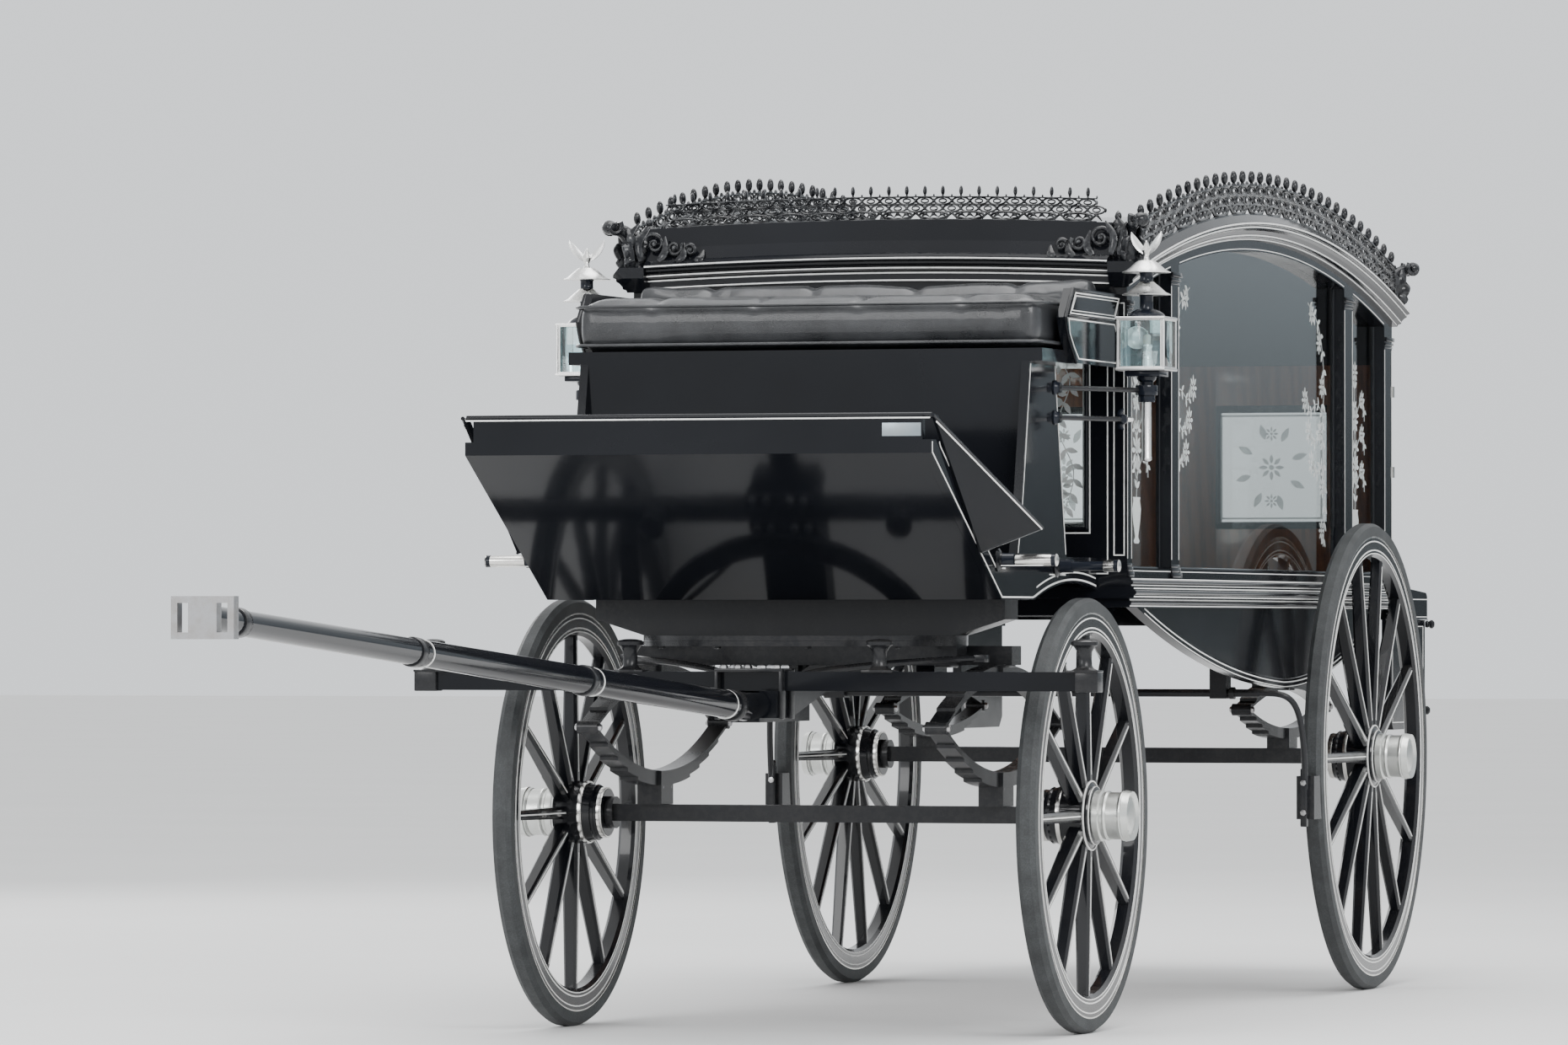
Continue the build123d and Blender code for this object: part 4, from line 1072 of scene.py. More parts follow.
def link_piece(name: str, data: ID | None) -> Object:
    """Make an object of some data and link it to the scene.

    Args:
        name: its name.
        data: its data.

    Returns:
        The object.
    """
    obj = bpy.data.objects.new(name, data)
    bpy.context.scene.collection.objects.link(obj)
    return obj


def coat_and_ride(obj: Object, finish: str, body: Body | str = Body.CARRIAGE) -> None:
    """Give a piece its finish and its body.

    Args:
        obj: the piece.
        finish: a finish of the palette.
        body: the body it moves with.
    """
    obj.data.materials.clear()
    obj.data.materials.append(coating(finish))
    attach(obj, body.value if isinstance(body, Body) else body)
    log.info("%s: %d faces in %s", obj.name, len(obj.data.polygons), finish)


def evaluated_mesh(obj: Object) -> Mesh:
    """Return what an object's modifiers make of it, as a plain mesh."""
    return bpy.data.meshes.new_from_object(obj.evaluated_get(bpy.context.evaluated_depsgraph_get()))


# Repeated pieces


class Repeats:
    """Geometry trees that repeat a template, each built once."""

    @staticmethod
    @cache
    def tree(name: str) -> NodeTree:
        """Return a tree that repeats a template, built on first use.

        Args:
            name: "ring" or "path".

        Returns:
            The tree.
        """
        tree = bpy.data.node_groups.new(f"repeat_{name}", "GeometryNodeTree")
        kinds = {"Template": "Geometry", "Count": "Int", "Material": "Material", "Path": "Object"}
        for label, kind in kinds.items():
            if label != "Path" or name == "path":
                tree.interface.new_socket(label, in_out="INPUT", socket_type=f"NodeSocket{kind}")
        tree.interface.new_socket("Geometry", in_out="OUTPUT", socket_type="NodeSocketGeometry")
        graph = Graph(tree)
        source = graph.add("NodeGroupInput")
        spots, turn = Repeats._ring(graph, source) if name == "ring" else Repeats._path(graph, source)
        copies = graph.add("GeometryNodeInstanceOnPoints")
        graph.put(copies, Points=spots, Instance=source.outputs["Template"], Rotation=turn)
        real = graph.add("GeometryNodeRealizeInstances")
        graph.put(real, Geometry=copies.outputs[0])
        coated = graph.add("GeometryNodeSetMaterial")
        graph.put(coated, Geometry=real.outputs[0], Material=source.outputs["Material"])
        sink = graph.add("NodeGroupOutput")
        graph.feed(sink.inputs[0], coated.outputs[0])
        return tree

    @staticmethod
    def _ring(graph: Graph, source: Node) -> tuple[Socket, Socket]:
        """Add the points and turns of copies round the X axis.

        Args:
            graph: the tree under construction.
            source: the tree's input node.

        Returns:
            The points and the rotations.
        """
        line = graph.add("GeometryNodeMeshLine", mode="OFFSET")
        graph.put(line, Count=source.outputs["Count"], Offset=(0.0, 0.0, 0.0))
        step = graph.math("DIVIDE", tau, source.outputs["Count"])
        angle = graph.product(graph.add("GeometryNodeInputIndex").outputs[0], step)
        euler = graph.add("ShaderNodeCombineXYZ")
        graph.put(euler, X=angle)
        turn = graph.add("FunctionNodeEulerToRotation")
        graph.feed(turn.inputs[0], euler.outputs[0])
        return line.outputs[0], turn.outputs[0]

    @staticmethod
    def _path(graph: Graph, source: Node) -> tuple[Socket, Socket]:
        """Add the points and turns of copies along a curve in the YZ plane.

        Args:
            graph: the tree under construction.
            source: the tree's input node.

        Returns:
            The points and the rotations.
        """
        info = graph.add("GeometryNodeObjectInfo")
        graph.feed(info.inputs["Object"], source.outputs["Path"])
        even = graph.add("GeometryNodeResampleCurve")
        graph.put(even, Curve=info.outputs["Geometry"], Count=source.outputs["Count"])
        spots = graph.add("GeometryNodeCurveToPoints", mode="EVALUATED")
        graph.feed(spots.inputs["Curve"], even.outputs[0])
        turn = graph.add("FunctionNodeAlignRotationToVector", axis="Y", pivot_axis="X")
        graph.feed(turn.inputs["Vector"], spots.outputs["Tangent"])
        return spots.outputs["Points"], turn.outputs[0]

    @classmethod
    def make(
        cls, name: str, template: Mesh, finish: str, count: int,
        path: Sequence[Vector] | None = None,
    ) -> Mesh:
        """Repeat a template round the X axis or along a path.

        Args:
            name: name of the mesh that comes out.
            template: the mesh that is repeated.
            finish: a finish of the palette.
            count: number of copies.
            path: points of the path, or None for a ring.

        Returns:
            The plain mesh, in millimetres.
        """
        holder = link_piece(f"{name}_source", template)
        values: dict[str, object] = {"Count": count, "Material": coating(finish)}
        if path is not None:
            curve = bpy.data.curves.new(f"{name}_path", "CURVE")
            curve.dimensions = "3D"
            spline = curve.splines.new("POLY")
            spline.points.add(len(path) - 1)
            for spot, point in zip(spline.points, path):
                spot.co = (*point, 1)
            values["Path"] = link_piece(f"{name}_path", curve)
        tree = cls.tree("ring" if path is None else "path")
        modifier = holder.modifiers.new("repeat", "NODES")
        modifier.node_group = tree
        for item in tree.interface.items_tree:
            if item.in_out == "INPUT" and item.name in values:
                modifier[item.identifier] = values[item.name]
        made = evaluated_mesh(holder)
        made.name = name
        holder.modifiers.remove(modifier)
        bpy.data.objects.remove(holder)
        if path is not None:
            bpy.data.objects.remove(values["Path"])
        return made


# Running gear


def collar(
    low: float, high: float, along: float, width: float, crown: float = 0.0
) -> list[Pair]:
    """Return a hoop's section between two radii, crowned in its middle."""
    middle = [(high + crown, along)] if crown else []
    return [
        (low, along - width), (high, along - width), *middle, (high, along + width), (low, along + width)
    ]


@dataclass
class Wheel:
    """Lines, rings and cap of one wheel, made about X and moved to its hub."""

    place: str
    side: Side
    diameter: float
    spokes: int
    track: float
    y: float
    tyre: float = 34.0
    felloe: float = 54.0
    cheek: float = 21.0

    @property
    def body(self) -> str:
        """Body that turns with the wheel."""
        return f"{self.place}_wheel_{self.side.word}"

    @property
    def rim(self) -> float:
        """Radius where the felloe meets the tyre."""
        return self.diameter / 2 - self.tyre

    @property
    def matrix(self) -> Matrix:
        """Move from the X axis to the hub, turned outwards."""
        hub = Matrix.Translation((self.side.value * self.track / 2, self.y, self.diameter / 2))
        return hub @ Matrix.Scale(self.side.value, 4, OUTWARD)

    def publish(self, shape: Shape, part: str, finish: str) -> None:
        """Move a shape to the hub and publish it.

        Args:
            shape: shape that takes the result.
            part: start of the piece's name.
            finish: a finish of the palette.
        """
        placed = Shape()
        placed.add_mesh(shape.mesh(part), self.matrix)
        placed.publish(f"{part}_{self.place}_{self.side.word}", finish, self.body)

    def build(self) -> None:
        """Make all pieces of the wheel."""
        self.lines()
        self.rings()
        self.cap()

    def hoop(self, shape: Shape, radius: float, face: int, width: float, depth: float) -> None:
        """Lay a line round the rim on one face."""
        circle = [(radius * cos(a), radius * sin(a)) for a in even_angles(96)]
        shape.ribbon(on_side(face * depth, circle), (face, 0, 0), width, looped=True)

    def lines(self) -> None:
        """Line out the felloe and every spoke on both faces."""
        shape = Shape()
        inner = self.rim - self.felloe
        for face in (-1, 1):
            for radius, width in ((self.rim - 13, 3.0), (self.rim - 36, 3.4), (inner + 9.5, 2.6)):
                self.hoop(shape, radius, face, width, self.cheek)
            for along, reach in ((21, 81), (30.5, 67.5)):
                shape.turned(collar(reach - 2, reach + 1.2, along, 1.5), ORIGIN, OUTWARD, 48, closed=True)
            spoke = Shape()
            low, high = 96.0, inner - 12
            depth = [20 - 5.6 * (r - 66) / (inner + 3 - 66) for r in (low, high)]
            run = points((face * depth[0], low, 0), (face * depth[1], high, 0))
            spoke.ribbon(run, (face, 0.017, 0), 3.2)
            ring = Repeats.make("spoke_lines", spoke.mesh("spoke_line"), "white_lining", self.spokes)
            shape.add_mesh(ring)
        self.publish(shape, "wheel_lines", "white_lining")

    def rings(self) -> None:
        """Add the tyre's steel edges and the nave's hoops."""
        shape = Shape()
        for face in (-1, 1):
            self.hoop(shape, self.rim - 1.5, face, 4.4, self.cheek + 0.3)
        for along, radius, width in ((-44, 72.5, 5), (-88, 58.5, 6)):
            hoop = collar(radius - 2, radius + 1.4, along, width, 0.8)
            shape.turned(hoop, ORIGIN, OUTWARD, 48, closed=True)
        self.publish(shape, "nave_hoops", "silver_plate")
        black = Shape()
        for along, radius, width in ((16, 80, 3.5), (31.5, 65.5, 2.2), (-70, 64, 5)):
            hoop = [
                (radius - 6, along - width - 1), (radius, along - width), (radius + 3, along),
                (radius, along + width), (radius - 6, along + width + 1),
            ]
            black.turned(hoop, ORIGIN, OUTWARD, 48, closed=True)
        self.publish(black, "nave_mouldings", "wheel_black")

    def cap(self) -> None:
        """Add ribs, six studs and the domed face of the hub cap."""
        shape = Shape()
        for along, width in ((41, 4.5), (62, 5.5), (99, 6.0)):
            hoop = [
                (53, along - width), (56.6, along - width * 0.8), (58.4, along),
                (56.6, along + width * 0.8), (53, along + width),
            ]
            shape.turned(hoop, ORIGIN, OUTWARD, 56, closed=True)
        shape.turned(
            [(0, 112), (47, 112), (46, 113.6), (39, 114.4), (37, 115.8), (24, 117.6), (0, 118.6)], ORIGIN,
            OUTWARD, 48,
        )
        for angle in even_angles(6):
            spot = Vector((113.6, 42 * cos(angle), 42 * sin(angle)))
            shape.turned([(0, -1), (3.2, -1), (3.2, 1.2), (2.2, 2), (0, 2.2)], spot, OUTWARD, 10)
        self.publish(shape, "cap_detail", "cap_silver")


@dataclass
class SprungGear:
    """Irons and bolts of one end of the running gear."""

    iron: Shape = field(default_factory=Shape)
    bright: Shape = field(default_factory=Shape)

    def springs(self, x: float, y: float, z: float, half: float, rise: float, pack: float) -> None:
        """Clip the left elliptic spring and head its eye bolts.

        Args:
            x: place across of its middle.
            y: place along of its middle.
            z: height.
            half: half its length.
            rise: height of each half without its leaves.
            pack: thickness of its leaves.
        """
        nut = [(0, 0), (9, 0), (9, 4), (6.5, 7), (0, 7.5)]
        head = [(0, -1), (6.5, -1), (6.5, 5), (0, 5.6)]
        for end in (-1, 1):
            for face in (-1, 1):
                self.bright.turned(nut, (x + face * 25.5, y + end * half, z), (face, 0, 0), 6)
            self.iron.tube(points((x - 25, y + end * half, z), (x + 25, y + end * half, z)), 15.5, 14)
        for level in (-1, 1):
            crown = z + level * (rise + pack)
            for dy in (-30, 30):
                low, high = min(crown, crown - level * (pack + 5)), max(crown + level * 3, crown)
                self.iron.block((x - 27, y + dy - 5, low), (x + 27, y + dy + 5, high), 2.5)
                for dx in (-24, 24):
                    self.bright.turned(head, (x + dx, y + dy, crown + level * 2), (0, 0, level), 6)


@dataclass
class ForeCarriage(SprungGear):
    """Clips, bolts and bands of the parts that steer."""

    lines: Shape = field(default_factory=Shape)

    def build(self) -> None:
        """Make all pieces."""
        self.springs(420, 190, 716, 495, 108, 35)
        self.splinter()
        self.futchells()
        self.turntable()
        for shape in (self.iron, self.bright, self.lines):
            shape.reflect()
        self.pole()
        self.iron.publish("fore_irons", "iron_black", Body.FORE)
        self.bright.publish("fore_bolts", "steel_bright", Body.FORE)
        self.lines.publish("fore_lines", "white_lining", Body.FORE)

    def splinter(self) -> None:
        """Cap the left end of the splinter bar, shoe its roller bolts and line its edges."""
        self.iron.block((768, -383, 799.5), (821.5, -333.5, 848.5), 3)
        roller = [(0, 0), (31, 0), (31, 4), (22, 8), (17.5, 14), (16.4, 30), (17.5, 46)]
        roller += [(24, 57), (30.8, 61), (30.8, 68.5), (26, 72), (12, 74.5), (0, 75)]
        for x in (785, 300):
            self.iron.turned(roller, (x, -360, 846), UPWARD, 28)
            self.iron.block((x - 38, -386, 844), (x + 38, -334, 850), 2.5)
        for z in (842, 807):
            self.lines.ribbon(points((60, -380.6, z), (764, -371.4, z)), (-0.01, -1, 0), 3)

    def futchells(self) -> None:
        """Strap the pole between the futchells with two bossed clips and a stay."""
        for y in (-396, -322):
            self.iron.block((73, y - 13, 737), (81.5, y + 13, 848), 2.5)
            for x in (28, 62):
                self.bright.turned([(0, 0), (11, 0), (11, 5), (8, 9), (0, 10)], (x, y, 852.5), UPWARD, 6)
        stay = smooth_path(
            [(72, -300, 830), (120, -250, 846), (240, -150, 862), (360, -60, 872), (432, 20, 876)], 5
        )
        self.iron.tube(stay, [9, *[7.5] * (len(stay) - 2), 9], 8, flat=0.8)
        self.iron.block((418, 2, 866), (446, 44, 884), 3)

    def turntable(self) -> None:
        """Bolt the lower ring and the bed."""
        for n in range(5):
            angle = radians(-72 + 36 * n)
            place = (355 * cos(angle), 40 + 355 * sin(angle), 904.5)
            self.iron.turned([(0, 0), (9, 0), (9, -6), (0, -7)], place, UPWARD, 6)
        for x in (300, 440):
            self.iron.block((x - 16, 146, 853), (x + 16, 234, 861), 2)

    def pole(self) -> None:
        """Band the pole and its head, and strap it down to the futchells."""
        for y in (-396, -322):
            self.iron.block((-82, y - 13, 845), (82, y + 13, 853.5), 2.5)
        foot, tip = Vector((0, -430, 764)), Vector((0, -3812, 965.8))
        run = (tip - foot).normalized()
        for share, radius in ((0.03, 33), (0.34, 30.6), (0.66, 28), (0.955, 26.2)):
            band = [
                (radius - 3, -17), (radius + 2, -17), (radius + 3.2, -14), (radius + 3.2, 14),
                (radius + 2, 17), (radius - 3, 17),
            ]
            self.iron.turned(band, foot + run * (share * (tip - foot).length), run, 32, closed=True)
        for share in (0.045, 0.325, 0.645):
            ring = collar(31.5 - 7 * share, 34.2 - 7.4 * share, 0, 1.6)
            self.lines.turned(ring, foot + run * (share * (tip - foot).length), run, 32, closed=True)


@dataclass
class RearGear(SprungGear):
    """Clips and bolts of the rear springs and the brake."""

    def build(self) -> None:
        """Make all pieces."""
        self.springs(480, 2730, 735, 430, 52, 28)
        self.iron.block((700, 2030, 440), (717, 2052, 588), 3)
        for z in (476, 552):
            self.bright.turned([(0, 0), (8, 0), (8, 4), (0, 6)], (708.5, 2031, z), (0, -1, 0), 6)
        for dy in (-26, 26):
            self.bright.turned(
                [(0, 0), (7.5, 0), (7.5, 5), (0, 6)], (528, 1970 + dy * 0.55, 930), OUTWARD, 6
            )
        self.iron.turned(
            [(10, 0), (15.5, 1), (15.5, 14), (10, 15)], (531, 1970, 780.4), OUTWARD, 24, closed=True
        )
        for shape in (self.iron, self.bright):
            shape.reflect()
        self.iron.publish("rear_irons", "iron_black")
        self.bright.publish("rear_bolts", "steel_bright")


# Body


@dataclass
class CorniceAndGallery:
    """White lines of the arched mouldings, pierced gallery and corner scrolls."""

    bud_pitch: float = 90.0
    side_board: float = 635.0
    end_boards: Pair = (645.0, 3385.0)
    end_rise: float = 150.0
    end_squash: Pair = (0.5, 0.74)

    def build(self) -> None:
        """Make all pieces."""
        self.lines()
        self.gallery()
        self.scrolls()
        self.crest_panels()

    def lines(self) -> None:
        """Line the mouldings along both arches and across both ends."""
        shape = Shape()
        for reach, drop, width in ((40, 20.4, 4.2), (33, 30.6, 4.0), (20, 51.0, 3.6), (10.5, 60.4, 3.0)):
            radius = ARCH_RADIUS - drop
            z_end = arch_height(ARCH[0] - 1420, radius)
            extra = min(reach, 40 - 28 * max(0.0, 1794.4 - z_end) / 47) - 1
            path = on_side(SIDE_FACE + reach, arc(ARCH, radius, WALLS[0] - extra, WALLS[1] + extra, 90))
            shape.ribbon(path, OUTWARD, width)
        for height, reach in ((4, 10), (22, 10), (33.6, 20), (56.6, 40)):
            crown = arc(BOW, BOW_RADIUS + height, -581, 581, 40)
            shape.front_line(WALLS[0] - reach, crown, 3.4)
            shape.rear_line(WALLS[1] + reach, crown, 3.4)
        shape.reflect()
        shape.publish("cornice_lines", "white_lining")

    def bay(self) -> Mesh:
        """Return one bay of the gallery: low loops, two tiers of interlaced rings, a rail and two buds."""
        shape = Shape()
        pitch = self.bud_pitch

        def ring(y: float, z: float, wide: float, tall: float, size: float) -> None:
            """Add one oval ring."""
            oval = [(y + wide * cos(a), z + tall * sin(a)) for a in even_angles(18)]
            shape.tube(on_side(0, oval), size, 6, looped=True, up=OUTWARD)

        shape.block((-8, -pitch, -5), (8, pitch, 3), 2)
        shape.block((-6, -pitch, 73), (6, pitch, 77), 1.2)
        ring(0, 15, 72, 12, 4.8)
        for y, z in ((-pitch / 2, 62), (pitch / 2, 62), (0, 38), (pitch, 38)):
            ring(y, z, 41, 12.5, 3.6)
            ring(y, z, 19, 6.5, 3.0)
            shape.turned([(0, -8), (5, -5), (6.6, 0), (5, 5), (0, 8)], (0, y + pitch / 2, z), UPWARD, 8)
        for y in (-42, 0, 42):
            leaf = smooth_path([(0, y - 20, 9), (2, y, 19), (0, y + 20, 11)], 3)
            shape.tube(leaf, [2, 6, 2], 6, up=OUTWARD)
        arch = smooth_path([(0, 62, 4), (0, 84, 20), (0, 96, 20), (0, 118, 4)], 3)
        shape.tube(arch, [3, 5, 5, 3], 6, up=OUTWARD)
        for y in (-pitch / 2, pitch / 2):
            bud = [
                (0, 74), (5.5, 75), (6, 78), (3.8, 81), (7, 85), (8.8, 92), (8.6, 100), (6.6, 107),
                (3, 111), (0, 111.6),
            ]
            shape.turned(bud, (0, y, 0), UPWARD, 14)
            pip = [(0, 75), (4.2, 77), (4.6, 80), (2.6, 84), (0, 85)]
            shape.turned(pip, (0, y + pitch / 2, 0), UPWARD, 8)
        return shape.mesh("gallery_bay")

    def gallery(self) -> None:
        """Run the bays along both arches and both ends, in place of the plain pierced board."""
        bay = self.bay()
        whole = Shape()
        half = 14 * self.bud_pitch
        arch = on_side(self.side_board, bow(ARCH, ARCH_RADIUS, half, 60))
        side = Repeats.make("side_gallery", bay, "carved_black", 15, arch)
        whole.add_mesh(side)
        whole.reflect()
        self.finish(whole, "gallery_carving", "gallery_cresting")
        bay.transform(Matrix.Diagonal((1, *self.end_squash, 1)))
        half = 5.5 * self.bud_pitch
        crown = on_side(0, bow(BOW, BOW_RADIUS + self.end_rise, half, 20))
        end = Repeats.make("end_gallery", bay, "carved_black", 12, crown)
        ends = Shape()
        for turn, y in zip((-pi / 2, pi / 2), self.end_boards):
            ends.add_mesh(end, Matrix.Translation((0, y, 0)) @ Matrix.Rotation(turn, 4, "Z"))
        self.finish(ends, "end_gallery_carving", "gallery_cresting")

    @staticmethod
    def finish(shape: Shape, name: str, node: str) -> None:
        """Publish a carving in place of a plain node."""
        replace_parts(shape.publish(name, "carved_black", sharp_deg=50), node)

    @staticmethod
    def scrolls() -> None:
        """Carve the scroll with its curled tip, bud and leaves that stands on every corner."""
        shape = Shape()
        across, normal = Vector((1, 1, 0)).normalized(), Vector((1, -1, 0)).normalized()
        origin = Vector((616, 3396, 1820.4))

        def spot(row: Row, out: float = 0.0) -> Vector:
            """Return a point of the scroll's own plane, moved out of it."""
            return origin + across * row[0] + Vector((0, 0, row[1])) + normal * out

        stem = smooth_path([spot(r) for r in ((-2, -14), (0, 22), (6, 54), (26, 82), (56, 97))], 4)
        shape.tube(stem, [36, 33, 27, 19, 14], 12, flat=0.8, up=normal)
        for out in (-15, 15):
            curl = [spot(row, out) for row in spiral((66, 98), 20, 1.2, 2.4, 20)]
            shape.tube(curl, [7.5, 3], 8, up=normal)
        boss = [(0, -19), (9, -18), (15, -12), (18, 0), (15, 12), (9, 18), (0, 19)]
        shape.turned(boss, spot((72, 98)), normal, 20)
        bud = [
            (0, 0), (12, 0), (13, 5), (8, 10), (10, 18), (17, 30), (20, 42), (18, 54), (11, 62), (7, 66),
            (9, 72), (7, 80), (0, 87),
        ]
        shape.turned(bud, spot((-36, 38)), UPWARD, 20)
        lobes = (
            (-56, 22, 15), (-44, 46, 14), (-20, 70, 15), (4, 88, 13), (28, 94, 12), (40, 60, 14),
            (34, 26, 15), (-6, 40, 16), (-30, 14, 14),
        )
        for lobe, (reach, top, size) in enumerate(lobes):
            for out in (-1, 1):
                root = spot((reach * 0.35, top * 0.2 - 12), out * 12)
                bend = spot((reach * 0.85, top * 0.7), out * 24)
                leaf = smooth_path([root, bend, spot((reach * 1.05, top), out * 15)], 4)
                widths = [size * share for share in (0.6, 0.95, 1.1, 1.0, 0.7, 0.25)]
                shape.tube(leaf, widths, 8, flat=0.5, up=normal * out + Vector((0, 0, 0.12 * (lobe % 3))))
        shape.reflect()
        shape.reflect(1, ARCH[0])
        CorniceAndGallery.finish(shape, "corner_scrolls", "corner_finials")

    @staticmethod
    def crest_panels() -> None:
        """Set leaf scrolls before the cove beside each corner."""
        shape = Shape()
        for x, z, radius, turn in ((560, 1878, 26, 0.4), (508, 1868, 20, 2.6), (466, 1862, 14, 0.6)):
            y = 603 + (z - 1862) * 0.35
            curl = [Vector((row[0], y, row[1])) for row in spiral((x, z), radius, 1.35, turn, 26)]
            shape.tube(curl, [6.2 - 3.4 * n / 25 for n in range(26)], 8, up=FORWARD)
            shape.turned([(0, -7), (5, -5), (6.5, 0), (5, 5), (0, 7)], (x, y, z), BACKWARD, 12)
        leaves = (
            ((590, 1836), (596, 1880), (572, 1918)),
            ((545, 1836), (530, 1858), (534, 1896)),
            ((500, 1834), (484, 1848), (486, 1880)),
            ((452, 1834), (440, 1842), (436, 1862)),
            ((610, 1836), (622, 1890), (600, 1930)),
        )
        for low, mid, high in leaves:
            leaf = smooth_path([(low[0], 594, low[1]), (mid[0], 598, mid[1]), (high[0], 612, high[1])], 4)
            shape.tube(leaf, [5, 8, 9.5, 10, 9.5, 8.5, 7, 4.5, 2], 8, flat=0.45, up=(0, -1, 0.2))
        shape.reflect()
        shape.reflect(1, ARCH[0])
        shape.publish("corner_leafwork", "carved_black", sharp_deg=50)


@dataclass
class GlazedBody:
    """Pillars, waist, belly and tail: their mouldings, feet, capitals and white lines."""

    belly_front: Pair = (730.0, 995.4)
    belly_low: Pair = (2200.0, 792.4)
    belly_bulge: float = 39.0
    belly_rear: float = 3303.0
    belly_sweep: float = 3100.0
    lines: Shape = field(default_factory=Shape)
    black: Shape = field(default_factory=Shape)

    def build(self) -> None:
        """Make all pieces."""
        self.pillars()
        self.waist()
        self.belly()
        self.tail()
        for shape in (self.lines, self.black):
            shape.reflect()
        self.lines.publish("body_lines", "white_lining")
        self.black.publish("body_mouldings", "coach_black")
        self.front()
        self.floor()

    def pillars(self) -> None:
        """Give the left side's pillars feet, capitals and edge lines."""
        for low, high, inner in (
            (630, 675, False), (1045, 1122, True), (2850, 2945, True), (3310, 3400, False)
        ):
            tops = [arch_height(y, SOFFIT_RADIUS) for y in (low, high)]
            top = min(tops) - 4
            for edge in (low + 4, high - 4):
                self.lines.side_line(SIDE_FACE, [(edge, 1112), (edge, top - 38)], 2.2)
            middle = (low + high) / 2
            half = (high - low) / 2
            feet = ((1066.4, 7, 14, 3), (1080.4, 4, 12, 3), (1092.4, 1.5, 8, 3))
            capitals = ((top - 34, 2, 6, 2.5), (top - 26, 5, 8, 2.5), (top - 16, 8, 12, 2.5))
            for level, grow, rise, bevel in feet + capitals:
                reach = half + (grow if inner else 0)
                corners = (617, middle - reach, level), (SIDE_FACE + grow, middle + reach, level + rise)
                self.black.block(*corners, bevel)
        for low, high in ((675, 1045), (1122, 2850), (2945, 3310)):
            self.lines.side_line(SIDE_FACE, [(low + 8, 1083), (high - 8, 1083)], 2.2)
            self.lines.side_line(SIDE_FACE, arc(ARCH, SOFFIT_RADIUS + 5, low + 6, high - 6, 40), 2.2)
            self.black.side_bar(601, [(low + 3, 1091), (high - 3, 1091)], 4, 6)
            for edge in (low + 3, high - 3):
                self.black.side_bar(590, [(edge, 1092), (edge, arch_height(edge, SOFFIT_RADIUS) - 2)], 4, 6)

    def waist(self) -> None:
        """Round and line the four stacked mouldings, along the side and across the rear."""
        for reach, level, width in (
            (8, 998.5, 2.6), (8, 1013.6, 3.2), (22, 1020.8, 3.2), (22, 1040.8, 3.2), (14, 1048.0, 2.6),
            (14, 1063.0, 3.4),
        ):
            self.lines.side_line(
                SIDE_FACE + reach, [(630 - reach + 3, level), (3400 + reach - 3, level)], width
            )
            self.lines.rear_line(3400 + reach, [(-0.5, level), (SIDE_FACE + reach - 3, level)], width)
        for reach, level, size in ((20.5, 1030.8, 7.5), (12.5, 1055.5, 5.5), (6.5, 1006.0, 5.5)):
            self.black.side_bar(
                SIDE_FACE + reach, [(632 - reach, level), (3398 + reach, level)], size, 12, flat=0.9,
                up=UPWARD,
            )

    def belly(self) -> None:
        """Line the rail of the hanging belly panel and put a bead inside it."""
        front, low = Vector(self.belly_front), Vector(self.belly_low)
        chord = low - front
        half = chord.length / 2
        radius = (half**2 + self.belly_bulge**2) / (2 * self.belly_bulge)
        centre = (front + low) / 2 + Vector((chord.y, -chord.x)).normalized() * (self.belly_bulge - radius)
        first, last = (atan2(end.y - centre.y, end.x - centre.x) for end in (front, low))
        rows = []
        for n in range(41):
            angle = first + (last - first) * n / 40
            rows.append((centre.x + radius * cos(angle), centre.y + radius * sin(angle)))
        for n in range(1, 31):
            run = (self.belly_rear - low.x) * n / 30
            rows.append((low.x + run, low.y + self.belly_sweep - sqrt(self.belly_sweep**2 - run**2)))
        keep = [(y, z) for y, z in rows if z < 978.0]
        self.lines.side_line(617, [(y, z + 14.5) for y, z in keep], 3.0)
        self.lines.side_line(617, [(y, z + 3.0) for y, z in keep], 2.4)
        self.black.side_bar(611, [(y, z + 20) for y, z in keep], 3.5, 8)

    def tail(self) -> None:
        """Line the ledge behind the doors and knob its corner."""
        for level in (976.0, 1024.0):
            self.lines.side_line(616, [(3436, level), (3836, level)], 2.4)
        knob = [(0, 0), (9, 0), (10, 5), (8, 9), (12, 14), (12, 19), (7, 24), (0, 25)]
        for y, z in ((3826, 956), (3770, 720)):
            self.black.turned(knob, (615, y, z), OUTWARD, 18)
        self.black.block((611, 3424, 966), (619, 3838, 971), 1.5)
        inset = [(3420, 690), (3420, 950), (3786, 950), (3786, 706), (3756, 690)]
        self.lines.side_line(616, inset, 2.4, looped=True)

    @staticmethod
    def front() -> None:
        """Line the front wall and its corner posts, and bead the window."""
        lines, black = Shape(), Shape()
        for x, low, high, width in ((528, 1173, 1686, 3.2), (572, 1076, 1728, 3.0)):
            lines.front_line(630, [(-x, low), (-x, high), (x, high), (x, low)], width, looped=True)
        for side in (-1, 1):
            post = [(side * 588, 1120), (side * 588, 1722), (side * 613, 1722), (side * 613, 1120)]
            lines.front_line(630, post, 2.8, looped=True)
            black.cross_bar(3401, [(side * 598, 1100), (side * 598, 1700)], 3.5, 8)
        for z in (1183, 1675):
            black.cross_bar(628, [(-521, z), (521, z)], 5, 8)
        for x in (-518.5, 518.5):
            black.cross_bar(628, [(x, 1183), (x, 1675)], 5, 8)
        lines.publish("front_wall_lines", "white_lining")
        black.publish("front_wall_bead", "coach_black")

